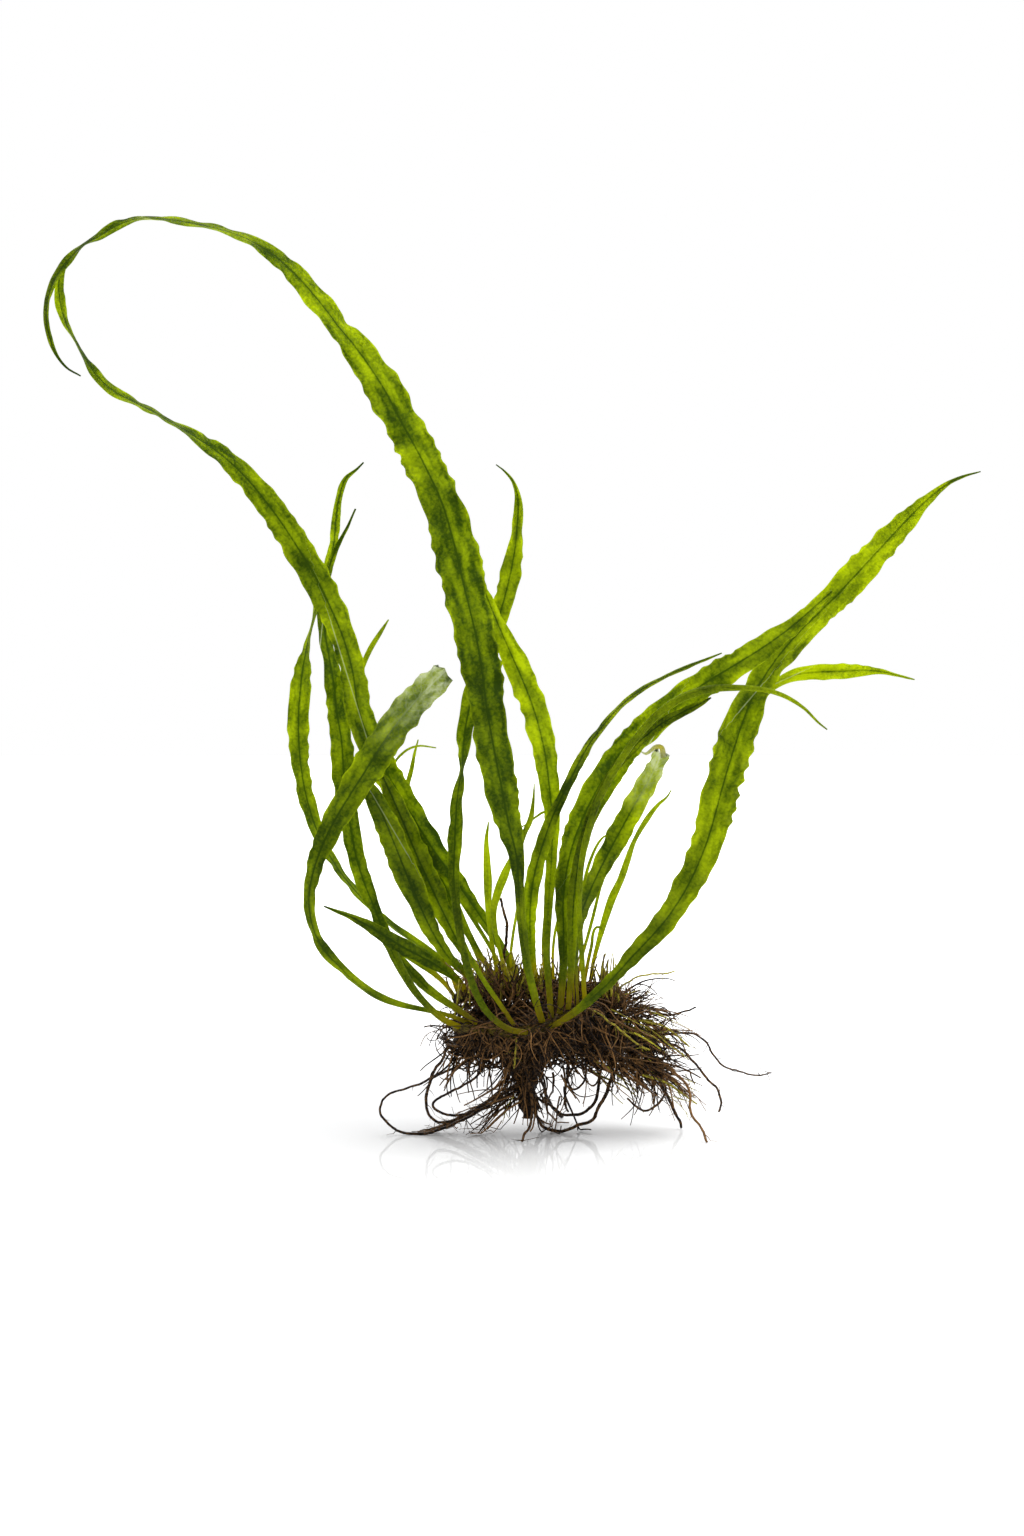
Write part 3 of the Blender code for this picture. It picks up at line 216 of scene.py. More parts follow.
def noise_at(tree, place, scale, detail):
    """Output of soft noise at a place."""
    return put(tree, "ShaderNodeTexNoise", {"Vector": place, "Scale": scale, "Detail": detail}).outputs[0]


def mark_of(tree, name):
    """Output of a value that the mesh carries at each point."""
    return put(tree, "ShaderNodeAttribute", {}, attribute_name=name).outputs["Fac"]


def new_group(name, inputs, outputs):
    """Shader node group with the named sockets, the values it is given and the inputs of its result."""
    group = bpy.data.node_groups.new(name, "ShaderNodeTree")
    for in_out, sockets in (("INPUT", inputs), ("OUTPUT", outputs)):
        for socket, kind in sockets.items():
            group.interface.new_socket(socket, in_out=in_out, socket_type="NodeSocket" + kind)
    return group, group.nodes.new("NodeGroupInput").outputs, group.nodes.new("NodeGroupOutput").inputs


def new_material(name):
    """Material with an empty node tree, and the input of its output node."""
    material = bpy.data.materials.new(name)
    material.use_nodes = True
    tree = material.node_tree
    tree.nodes.clear()
    return material, tree, tree.nodes.new("ShaderNodeOutputMaterial").inputs["Surface"]


def build_bark_group():
    """Fibrous, spotted skin of roots and rhizomes, between a dark and a light colour."""
    group, given, result = new_group(
        "root skin",
        {"Dark": "Color", "Light": "Color", "Share": "Float", "Grain": "Float"},
        {"Colour": "Color", "Height": "Float", "Roughness": "Float"})
    place = put(group, "ShaderNodeTexCoord", {}).outputs["Object"]
    blots = noise_at(group, place, given["Grain"], 4.0)
    specks = noise_at(group, place, 4200.0, 2.0)
    share = clamp(group, calc(group, "ADD", given["Share"], step_up(group, blots, 0.32, 0.68, -0.28, 0.28)))
    group.links.new(mix_colour(group, share, given["Dark"], given["Light"]), result["Colour"])
    group.links.new(calc(group, "ADD", blots, specks), result["Height"])
    group.links.new(step_up(group, specks, 0.3, 0.7, 0.38, 0.72), result["Roughness"])
    return group


bark_group = build_bark_group()


def bark_material(name, dark, light, grain):
    """Principled skin for roots and rhizomes, lighter where the piece's tone is high."""
    material, tree, surface = new_material(name)
    inputs = {"Dark": (*dark, 1.0), "Light": (*light, 1.0), "Share": mark_of(tree, "tone"), "Grain": grain}
    skin = put(tree, "ShaderNodeGroup", inputs, node_tree=bark_group).outputs
    bump = put(tree, "ShaderNodeBump", {"Height": skin["Height"], "Strength": 0.35, "Distance": 0.0001})
    shader = put(tree, "ShaderNodeBsdfPrincipled", {
        "Base Color": skin["Colour"], "Roughness": skin["Roughness"], "Specular IOR Level": BARK_GLOSS,
        "Normal": bump.outputs[0]})
    tree.links.new(shader.outputs[0], surface)
    return material


rhizome_skin = bark_material("rhizome_skin", RHIZOME_DARK, RHIZOME_LIGHT, 900.0)


def build_rhizome(name, lightness, girth, seed):
    """One stem with knobs, and scales that lie along it like roof tiles."""
    chance = random.Random(seed)
    route, length = smooth_route(RHIZOME_STATIONS[name])
    count = round(length / RHIZOME_STEP)
    points = []
    radii = []
    for index in range(count + 1):
        distance = length * index / count
        place, (radius,) = route(distance)
        points.append(place)
        knob = noise.noise(Vector((distance * KNOB_GRAIN, seed, 0.0)))
        radii.append(radius * girth * (1.0 + KNOB_SHARE * knob))
    stem = Bundle()
    stem.add_tube(points, radii, RHIZOME_SIDES, lightness)
    for _ in range(SCALE_COUNT):
        distance = chance.uniform(0.5, length - 2.0)
        place, (radius,) = route(distance)
        along = (route(distance + 0.5)[0] - place).normalized()
        side = along.orthogonal().normalized()
        angle = chance.uniform(0.0, FULL_TURN)
        out = side * math.cos(angle) + along.cross(side) * math.sin(angle)
        tip = along * SCALE_LENGTH + out * chance.uniform(*SCALE_LIFT)
        base = place + out * radius * girth * SCALE_TUCK
        widths = [0.5 * SCALE_WIDTH, 0.35 * SCALE_WIDTH, 0.05]
        stem.add_tube([base, base + tip * 0.5, base + tip], widths, 4, chance.uniform(*SCALE_TONE))
    stem.finish(name + "_scaly", rhizome_skin, name)


build_rhizome("rhizome_main", 0.10, 0.95, 11)
build_rhizome("rhizome_front", 0.45, 0.65, 12)

# Root mat: years of thin dark roots felted into one lump under and between the stalks.
# It is near-black brown and wiry, with a dense heart and loose curls all over its outside.
# Every fibre grows out of the rhizomes, so the whole lump holds together by itself.
MAT_SECTIONS = (
    # across, up, depth, reach in depth, reach up
    (-26.5, 29, 0.5, 2, 2), (-24.5, 28.6, 0.5, 5.5, 4.6), (-20, 29, 1, 8.5, 6.6), (-15, 30, 1.5, 11, 8),
    (-9, 30, 2, 12.6, 8.2), (-3, 30, 2, 13.2, 8.4), (3, 30.2, 2, 13.4, 8.2), (9, 30.2, 2, 13.2, 8),
    (15, 29.6, 2, 12.4, 8.8), (20, 28.2, 2, 11, 9.8), (25, 26.8, 2, 9, 9.4), (30, 25.2, 2, 6.6, 7.6),
    (33.5, 23.4, 2, 4, 5), (35, 22.6, 2, 1.8, 2.2),
)
COLUMN_SECTIONS = (
    # height, across, depth, reach across, reach in depth
    (0, -4, 0, 3.8, 3.4), (3, -4.4, 0, 3.2, 3), (7, -5, 0.5, 4.2, 3.8), (12, -5.4, 1, 5.4, 4.8),
    (17, -5.6, 1.5, 7, 6.4), (21, -5.8, 1.8, 10, 8.6), (26, -5.8, 2, 8, 7),
)
ROOT_DARK = (0.0040, 0.0018, 0.0010)
ROOT_LIGHT = (0.230, 0.118, 0.040)
CORE_SHARE = 0.84
CORE_SIDES = 64
CORE_STEP = 0.7
CORE_LUMP = 2.2
CORE_GRAIN = 0.33
CORE_TONE = 0.02
CORE_MOTTLE = 0.15
CORE_THINS_FROM = 14.0
CORE_END_SHARE = 0.08
COLUMN_FOOT = 4.0
COLUMN_TOP = 24.0
COLUMN_THINS_AT = (COLUMN_FOOT, 14.0, 22.0)
COLUMN_THINS_TO = (0.42, 0.6, 0.9)
FLOOR_GAP = 0.35
FLOOR_SPREAD = 0.1
FLOOR_BOUNCE = 0.2
CURL_GRAIN = 0.16
FELT_COUNT = 820
FELT_STEP = 1.1
FELT_DEPTH = 0.88
FELT_RADIUS = (0.18, 0.42)
FELT_END = 3.0
FELT_SHORTEST = 6.0
FELT_LONGEST = (20.0, 24.0, 13.0)
FELT_LONGEST_AT = 20.0
FELT_LEAN_RIGHT = 0.8
FELT_LEAN_LEFT = 0.3
FELT_CURL = 0.26
FELT_FALL = 0.03
FELT_SURFACE = 1.02
FELT_PUSH = 0.15
FELT_PULL = 0.35
LOOSE_END = (18.0, 30.0)
LOOSE_PULL = 0.2
TUFTS = (
    # across, up and height of tuft as low and high; count
    ((-21, -8), (37, 43), (4, 14), 200),
    ((-8, 6), (35, 40), (3, 9), 160),
    ((6, 24), (34, 39), (3, 9), 190),
    ((-26, -7), (30, 37), (3, 7), 130),
)
TUFT_RADIUS = (0.13, 0.28)
TUFT_STEP = 0.9
TUFT_CURL = 0.32
TUFT_FALL = 0.01
OVERHANG_COUNT = 230
OVERHANG_RADIUS = (0.13, 0.30)
OVERHANG_LENGTH = (4.0, 13.0)
OVERHANG_CURL = 0.34
OVERHANG_FALL = 0.06
CURL_SEED = 5
noise.seed_set(CURL_SEED)
root_skin = bark_material("root_skin", ROOT_DARK, ROOT_LIGHT, 1300.0)
mat_table = np.array([(*seen(*section[:3]), *section[3:]) for section in MAT_SECTIONS])
mat_low = mat_table[0, 0]
mat_high = mat_table[-1, 0]


def read_table(table, place):
    """Values of the table's other columns at a place in its first one."""
    return [float(np.interp(place, table[:, 0], column)) for column in table.T[1:]]


def mat_at(x):
    """Centre and reaches of the mat at a place across, in millimetres."""
    y, z, reach_depth, reach_up = read_table(mat_table, x)
    return Vector((x, y, z)), reach_depth, reach_up


def out_of_mat(angle, reach_depth, reach_up):
    """Way from the middle of the mat to its outside."""
    return Vector((0.0, math.cos(angle) * reach_depth, math.sin(angle) * reach_up))


def wander(chance, start, heading, length, step, curl, fall, keep=None):
    """Points of a root that curls away from the start, sinks as it goes and stays above the floor."""
    place = start.copy()
    heading = heading.normalized()
    shift = Vector(draw(chance, (0, 900), (0, 900), (0, 900)))
    points = [place.copy()]
    for _ in range(max(3, round(length / step))):
        heading = heading + noise.noise_vector(place * CURL_GRAIN + shift) * curl
        heading.z -= fall
        if keep is not None:
            heading = heading + keep(place)
        heading.normalize()
        place = place + heading * step
        if place.z < FLOOR_GAP:
            place.z = FLOOR_GAP + FLOOR_SPREAD * chance.random()
            heading.z = abs(heading.z) * FLOOR_BOUNCE
        points.append(place.copy())
    return points


def add_root(bundle, points, radius, sides, tone, end=0.35):
    """Add one root whose tip has the end's share of its radius."""
    last = len(points) - 1
    radii = [radius * (1.0 - (1.0 - end) * index / last) for index in range(last + 1)]
    bundle.add_tube(points, radii, sides, tone)


def mat_rings(angles):
    """Rings of points round the heart of the mat, from left to right."""
    rings = []
    for x in np.arange(mat_low + 1.0, mat_high - 1.0, CORE_STEP):
        middle, reach_depth, reach_up = mat_at(float(x))
        share = float(np.interp(x, [CORE_THINS_FROM, mat_high - 1.0], [1.0, CORE_END_SHARE])) * CORE_SHARE
        rings.append([middle + out_of_mat(angle, reach_depth, reach_up) * share for angle in angles])
    return rings


def column_rings(angles):
    """Rings of points round the thick bunch under the mat, from its foot up."""
    table = np.array(COLUMN_SECTIONS)
    rings = []
    for z in np.arange(COLUMN_FOOT, COLUMN_TOP, CORE_STEP):
        across, depth, wide, deep = read_table(table, z)
        share = CORE_SHARE * float(np.interp(z, COLUMN_THINS_AT, COLUMN_THINS_TO))
        rings.append([Vector((across - FOOT.x + math.cos(angle) * wide * share,
                              depth + math.sin(angle) * deep * share, z)) for angle in angles])
    return rings


def build_mat_core():
    """Dense heart of the mat and of the column under it, near-black: dark root colour with painted shade for
    the mat's shaded depths.
    """
    places = []
    faces = []
    tones = []
    angles = np.linspace(0.0, FULL_TURN, CORE_SIDES, endpoint=False)
    for rings in (mat_rings(angles), column_rings(angles)):
        faces += tube_faces(len(places), len(rings), CORE_SIDES)
        for ring in rings:
            centre = sum(ring, Vector()) / len(ring)
            for place in ring:
                out = place - centre
                lump = noise.fractal(place * CORE_GRAIN, 1.0, 2.0, 3) * CORE_LUMP
                places.append(place + out.normalized() * min(lump, out.length * 0.6))
                # Near-black tone: dark root colour and painted shade seen through the gaps in the felt
                tones.append(CORE_TONE + CORE_MOTTLE * noise.noise(place * 0.6))
    make_piece("root_mat_heart", places, faces, {"tone": tones}, root_skin, "root_mat")


def keep_near_mat(place):
    """Pull on a felt root, back to the mat's outside, weaker at the loose right end."""
    middle, reach_depth, reach_up = mat_at(min(max(place.x, mat_low), mat_high))
    out = Vector(((place.x - middle.x) * 0.2,
                  (place.y - middle.y) / reach_depth,
                  (place.z - middle.z) / reach_up))
    pull = max(-FELT_PUSH, min(FELT_PULL, out.length - FELT_SURFACE))
    return -out.normalized() * pull * float(np.interp(place.x, LOOSE_END, (1.0, LOOSE_PULL)))


def build_felt():
    """Loose wiry roots that cover the mat, running out from its middle and down."""
    chance = random.Random(21)
    felt = Bundle()
    for _ in range(FELT_COUNT):
        x = chance.uniform(mat_low + FELT_END, mat_high - FELT_END)
        middle, reach_depth, reach_up = mat_at(x)
        angle = chance.uniform(0.0, FULL_TURN)
        start = middle + out_of_mat(angle, reach_depth, reach_up) * FELT_DEPTH
        outward = FELT_LEAN_RIGHT * x / mat_high if x > 0.0 else -FELT_LEAN_LEFT * x / mat_low
        across, depth, up = draw(chance, (-0.7, 0.7), (-0.6, 0.6), (-0.9, 0.4))
        longest = float(np.interp(x, [mat_low, FELT_LONGEST_AT, mat_high], FELT_LONGEST))
        heading = Vector((outward + across, depth, up))
        length = chance.uniform(FELT_SHORTEST, longest)
        points = wander(chance, start, heading, length, FELT_STEP, FELT_CURL, FELT_FALL, keep_near_mat)
        add_root(felt, points, chance.uniform(*FELT_RADIUS), 4, chance.random() ** 3.0)
    felt.finish("root_mat_felt", root_skin)


def build_mat_top():
    """Short roots that stand up between the stalks and hang over both rhizomes."""
    chance = random.Random(22)
    top = Bundle()
    for across, up, height, count in TUFTS:
        for _ in range(count):
            start = seen(*draw(chance, across, up, (-7.0, 12.0)))
            heading = Vector(draw(chance, (-0.8, 0.8), (-0.5, 0.5), (0.5, 1.0)))
            points = wander(chance, start, heading, chance.uniform(*height), TUFT_STEP, TUFT_CURL, TUFT_FALL)
            add_root(top, points, chance.uniform(*TUFT_RADIUS), 5, chance.random() ** 1.5)
    for stations in RHIZOME_STATIONS.values():
        route, length = smooth_route(stations)
        for _ in range(OVERHANG_COUNT):
            place, (radius,) = route(length * chance.uniform(0.12, 1.0))
            angle = chance.uniform(0.0, FULL_TURN)
            out = Vector((chance.uniform(-0.4, 0.4), math.cos(angle), math.sin(angle)))
            heading = out * 0.5 + Vector(draw(chance, (-1, 1), (-0.5, 0.2), (-0.7, 0.3)))
            points = wander(chance, place + out * radius * 0.8, heading, chance.uniform(*OVERHANG_LENGTH),
                            TUFT_STEP, OVERHANG_CURL, OVERHANG_FALL)
            add_root(top, points, chance.uniform(*OVERHANG_RADIUS), 5, chance.random() ** 2.5)
    top.finish("root_mat_top", root_skin)


build_mat_core()
build_felt()
build_mat_top()

# Hanging roots: thin roots that leave the mat's underside and ends, singly and in loose fans.
# They are dark wiry fibres with finer side roots, some of them fresh and yellow-green at the right end.
# They hang, curl and run down to the surface, where the thick bunch in the middle carries the plant.
FANS = (
    # across, up and depth; heading; count; length; radius; curl; share that is fresh
    ((-26, -13), (22, 28), (-7, 7), (-0.5, 0, -0.9), 23, (9, 19), (0.24, 0.48), 0.18, 0.04),
    ((-25, -21), (25, 30), (-4, 4), (-0.7, 0, -0.6), 8, (4, 9), (0.14, 0.26), 0.2, 0.05),
    ((-11, -4), (18, 25), (-5, 6), (-0.05, 0, -1), 44, (9, 19), (0.22, 0.5), 0.18, 0),
    ((-12, -5), (8, 14), (-4, 4), (-0.85, 0, -0.45), 18, (8, 22), (0.18, 0.4), 0.1, 0.02),
    ((-5, 7), (9, 24), (-6, 7), (0.25, 0, -0.9), 20, (8, 18), (0.22, 0.5), 0.36, 0),
    ((6, 20), (19, 24), (-6, 7), (0.1, 0, -1), 15, (4, 11), (0.16, 0.34), 0.38, 0.04),
    ((10, 30), (17, 26), (-6, 7), (0.87, 0, -0.45), 40, (8, 20), (0.22, 0.5), 0.13, 0.1),
    ((18, 31), (28, 36), (-9, 3), (0.85, 0, -0.42), 38, (8, 19), (0.16, 0.38), 0.13, 0.6),
    ((34, 42), (10, 18), (-4, 5), (0.75, 0, -0.6), 9, (3, 8), (0.14, 0.28), 0.14, 0.5),
    ((11, 26), (33, 39), (-5, 8), (0.75, 0, 0.45), 66, (4, 10), (0.16, 0.34), 0.3, 0.2),
    ((-30, 6), (2, 8), (-6, 6), (-0.15, 0, -0.8), 8, (3, 8), (0.12, 0.26), 0.2, 0),
    ((24, 35), (15, 22), (-5, 5), (0.3, 0, -0.95), 10, (5, 13), (0.18, 0.38), 0.2, 0.1),
)
FAN_STEP = 1.1
FAN_FALL = 0.02
FRESH_DARK = (0.075, 0.042, 0.010)
FRESH_LIGHT = (0.480, 0.440, 0.035)
STUB_COUNT = 150
STUB_LENGTH = (3.0, 11.0)
STUB_RADIUS = (0.22, 0.42)
TWIG_LENGTH = (1.5, 5.5)
TWIG_GIRTH = 0.62
TWIG_COUNTS = (0, 0, 0, 1, 1)
fresh_skin = bark_material("fresh_root_skin", FRESH_DARK, FRESH_LIGHT, 1300.0)


def add_hanging_root(chance, bundle, points, radius, tone):
    """Add one root, with a finer side root on some."""
    add_root(bundle, points, radius, 4, tone, 0.45)
    for _ in range(chance.choice(TWIG_COUNTS)):
        index = chance.randrange(1, len(points) - 1)
        heading = (points[index + 1] - points[index]).normalized()
        heading += Vector(draw(chance, (-0.9, 0.9), (-0.9, 0.9), (-0.8, 0.5)))
        twig = wander(chance, points[index], heading, chance.uniform(*TWIG_LENGTH), 0.9, 0.35, 0.03)
        add_root(bundle, twig, radius * TWIG_GIRTH, 3, tone, 0.5)


def build_fans():
    """Every loose fan of roots, dark ones in one piece and fresh ones in another."""
    chance = random.Random(31)
    dark = Bundle()
    fresh = Bundle()
    for across, up, depth, aim, count, lengths, radii, curl, share in FANS:
        for _ in range(count):
            start = seen(*draw(chance, across, up, depth))
            heading = Vector(aim) + Vector(draw(chance, (-0.4, 0.4), (-0.5, 0.5), (-0.3, 0.3)))
            points = wander(chance, start, heading, chance.uniform(*lengths), FAN_STEP, curl, FAN_FALL)
            new_growth = chance.random() < share
            tone = chance.uniform(0.1, 0.9) if new_growth else chance.random() ** 1.8
            add_hanging_root(chance, fresh if new_growth else dark, points, chance.uniform(*radii), tone)
    route, length = smooth_route(RHIZOME_STATIONS["rhizome_main"])
    for _ in range(STUB_COUNT):
        place, _ = route(length * chance.random())
        place = place + Vector((0.0, *draw(chance, (-9.0, 5.0), (-3.0, 2.0))))
        heading = Vector((*draw(chance, (-0.35, 0.35), (-0.25, 0.25)), 1.0))
        points = wander(chance, place, heading, chance.uniform(*STUB_LENGTH), 1.0, 0.12, 0.0)
        add_root(fresh, points, chance.uniform(*STUB_RADIUS), 6, chance.uniform(0.0, 0.8), 0.6)
    dark.finish("hanging_roots", root_skin)
    fresh.finish("fresh_hanging_roots", fresh_skin)


build_fans()

# Clear roots: single long roots that stand away from the mat in loops, hooks and feet.
# They are wiry, as thick as a pencil lead, dark brown with olive stretches, and carry fine side roots.
# Each leaves the mat at its upper end, and several reach the surface and help to prop the plant.
ROOT_STATIONS = {
    # across, up, depth, radius
    "root_left_loop": (
        (-18, 23, 0, 0.4), (-26, 18.8, -2, 0.4), (-31, 16.6, -2.6, 0.38), (-35, 14.8, -3, 0.36),
        (-39, 13.2, -3.4, 0.34), (-43, 12, -3.8, 0.34), (-45.6, 10, -4.2, 0.34), (-46.2, 7, -4.6, 0.36),
        (-44.6, 4, -4.8, 0.38), (-41.5, 1.7, -5, 0.4), (-37.5, 0.6, -5, 0.42), (-33, 0.8, -5, 0.45),
        (-27.5, 2.6, -4.4, 0.45), (-22, 5.2, -3.8, 0.45), (-16, 8.4, -3.4, 0.45), (-7, 13, -1.6, 0.45),
    ),
    "root_left_bundle": (
        (-5, 14.4, 1, 0.95), (-12, 11.2, 0.6, 0.95), (-18, 8, 0.2, 0.9), (-24, 4.8, -0.4, 0.8),
        (-29, 2.4, -1.2, 0.7), (-34, 1.1, -1.8, 0.55), (-38.5, 0.8, -2.2, 0.35),
    ),
    "root_left_inner_loop": (
        (-21, 27.5, -4, 0.4), (-26.8, 25.4, -6, 0.42), (-28.8, 21.6, -6.6, 0.44), (-31.6, 17, -6.8, 0.46),
        (-32.8, 13, -7.2, 0.48), (-33.3, 9.4, -7.4, 0.46), (-32.4, 5.8, -7.4, 0.42),
        (-29.8, 3.8, -7.4, 0.42), (-26, 4.3, -7.2, 0.42), (-20, 7.2, -6.6, 0.42), (-13, 11.6, -5, 0.42),
        (-6, 15.4, -2.6, 0.42),
    ),
    "root_left_curl": (
        (-15, 24, -5, 0.38), (-19, 17, -9.4, 0.38), (-24, 13.4, -10.4, 0.38), (-28, 11.4, -10.6, 0.38),
        (-31, 9.6, -10.6, 0.4), (-31.2, 7.9, -10.6, 0.4), (-29.4, 6.6, -10.6, 0.4), (-26, 5.9, -10.4, 0.4),
        (-22, 6.3, -10, 0.38), (-17, 9, -9, 0.36), (-11, 14, -7.4, 0.36), (-6, 19, -4, 0.36),
    ),
    "root_left_high": (
        (-20, 29, -3, 0.26), (-29, 30.8, -4.6, 0.26), (-34, 30.6, -6, 0.22),
    ),
    "root_right_loop": (
        (15, 28, 3, 0.6), (18.6, 18.6, 4, 0.6), (17.7, 13.6, 3, 0.58), (16, 9.4, 1.6, 0.56),
        (14.7, 7.4, 0.8, 0.54), (13.9, 5.2, 0.2, 0.52), (12.2, 4.2, -0.4, 0.5), (9.8, 3.4, -0.8, 0.5),
        (7.4, 2, -1.4, 0.5), (4.2, 1.2, -1.6, 0.5), (0.9, 1.8, -1, 0.5), (-1.6, 3.8, 1.4, 0.5),
        (-3, 7, 3, 0.5), (-4, 12, 3, 0.5),
    ),
    "root_right_inner": (
        (13, 28, 4, 0.5), (15, 18, 8, 0.5), (14.6, 12, 8.6, 0.5), (13, 8.4, 8.4, 0.5),
        (10.4, 6.4, 7.8, 0.48), (7.6, 5.8, 7.2, 0.46), (4.8, 6.2, 6.4, 0.44), (1.6, 8.4, 5.4, 0.42),
        (-4, 12, 3, 0.42),
    ),
    "root_right_upright": (
        (7, 27, -3, 0.42), (6.2, 18, -4.2, 0.42), (5.6, 12, -4.6, 0.4), (5.8, 8.6, -4.6, 0.38),
        (6.6, 6.8, -4.6, 0.3),
    ),
    "root_right_ring": (
        (9.4, 27, -5, 0.34), (7.6, 19.2, -7, 0.34), (6.4, 15.8, -7.4, 0.34), (7.6, 13.2, -7.6, 0.34),
        (9.6, 13.6, -7.6, 0.34), (11.2, 16, -7.4, 0.34), (11.4, 19.4, -7, 0.34), (12.4, 27, -5, 0.34),
    ),
    "root_front_foot": (
        (-5.6, 20, -4, 0.45), (-3.6, 9, -8, 0.45), (-4, 4.4, -11.4, 0.42), (-5.4, 1, -14.6, 0.4),
        (-6.6, -1.7, -17, 0.36),
    ),
    "root_back_foot": (
        (-3, 27, 9, 0.55), (-1.6, 17.6, 15, 0.55), (0.6, 11, 18.6, 0.52), (2.8, 7.2, 21.6, 0.48),
        (5, 5.4, 24.4, 0.42),
    ),
    "root_right_trailing": (
        (28, 28, 3, 0.38), (34, 29.4, 7, 0.36), (38, 29.1, 9, 0.34), (42, 28.5, 10, 0.34),
        (45.2, 26, 11, 0.32), (47.2, 22.6, 12, 0.32), (49.8, 19.9, 13, 0.3), (53.6, 18.3, 14, 0.28),
        (58.6, 17.1, 15, 0.26), (63.5, 17.6, 16, 0.22),
    ),
    "root_right_arching": (
        (28, 27, -2, 0.4), (37, 25.2, -4.6, 0.38), (41.5, 20.8, -5.4, 0.38), (45, 16.6, -6, 0.36),
        (47.6, 13.8, -6, 0.36), (49.2, 10.4, -6, 0.34), (49, 8.2, -6, 0.32), (48.5, 6.8, -6, 0.28),
    ),
    "root_right_hook": (
        (28, 24, 4, 0.52), (32, 15.8, 6.6, 0.52), (34.2, 11, 6.4, 0.5), (36.2, 7, 5.8, 0.48),
        (38, 3.6, 5.2, 0.44), (38.3, 1.9, 5, 0.4),
    ),
    "root_right_foot": (
        (29, 23, -2, 0.45), (37.4, 17, -7.4, 0.42), (40.3, 12.5, -9.4, 0.42), (40.7, 8.4, -11.4, 0.4),
        (41.3, 6, -12.6, 0.4), (43, 3, -14.8, 0.38), (44.6, 0.2, -17, 0.38), (45.6, -2, -18.4, 0.36),
    ),
    "root_right_low_ring": (
        (29, 21, -0.6, 0.36), (33.6, 14.4, -1.2, 0.36), (33.4, 11, -1.2, 0.36), (31, 8.4, -1.2, 0.36),
        (28.2, 7.2, -1.2, 0.36), (25.4, 8.4, -1.2, 0.34), (23, 10.6, -1.2, 0.3),
    ),
    "root_right_bundle": (
        (28, 22, 3, 0.95), (35, 15.4, 3.6, 0.85), (39, 12.2, 3.6, 0.65), (42.2, 10.8, 3.6, 0.35),
    ),
    "root_right_yellow": (
        (11.6, 36, -13.2, 0.38), (15.4, 34, -15, 0.38), (20, 30.6, -15, 0.38), (24.5, 26.8, -14, 0.36),
        (29.2, 24, -12.4, 0.3),
    ),
    "root_right_green": (
        (22, 32, -3, 0.45), (31, 31.6, -5.4, 0.42), (36, 28.8, -6, 0.38), (40.4, 25.2, -6, 0.3),
    ),
    "root_right_tip": (
        (22, 32, 3, 0.36), (31, 34.2, 6, 0.36), (35.5, 34, 7.4, 0.34), (39.6, 35, 8.4, 0.3),
        (42.2, 36.3, 9, 0.26),
    ),
    "root_right_upper": (
        (19, 40.4, 4, 0.38), (25, 44, 3.4, 0.36), (30, 45.3, 4, 0.34), (34, 45.4, 4.6, 0.32),
        (36.3, 46.1, 5, 0.26),
    ),
    "root_centre_pale": (
        (-8.4, 28.8, -14.4, 0.36), (-7.9, 25, -15.6, 0.36), (-8.3, 22.2, -14.8, 0.34),
        (-8.7, 19.2, -13.6, 0.28),
    ),
    "root_upright": (
        (-11.6, 42, 4.4, 0.26), (-11.3, 52, 2.6, 0.26), (-10.6, 58, 1.4, 0.26), (-11.6, 63, 0.8, 0.24),
        (-12.2, 66.6, 0.4, 0.22),
    ),
}
OLIVE_ROOTS = ("root_right_yellow", "root_right_green", "root_centre_pale", "root_right_upper")
REDDISH_ROOTS = ("root_right_arching", "root_right_bundle", "root_right_foot", "root_left_bundle")
STRANDS = {"root_left_bundle": 16, "root_right_bundle": 10}
ROOT_STEP = 0.7
ROOT_GIRTH = 0.95
FRESH_GIRTH = 0.75
GIRTHS = {"root_upright": 1.7}
SIDE_ROOT_SPACING = 5.0
STRAND_SIDE_ROOT_SPACING = 9.0
SIDE_ROOT_RADIUS = 0.13
SIDE_ROOT_LENGTH = (1.5, 6.0)
STRAND_GIRTH = (0.24, 0.36)
STRAND_TWIST = 0.12
STRAND_SPREAD = 0.85
WOBBLES = (
    # grain, reach
    (0.30, 0.40), (0.9, 0.16),
)
SWELL = 0.22
SWELL_GRAIN = 0.8
DARK_TONES = (0.05, 0.25)
FRESH_TONES = (0.20, 0.60)
REDDISH_TONES = (0.15, 0.70)


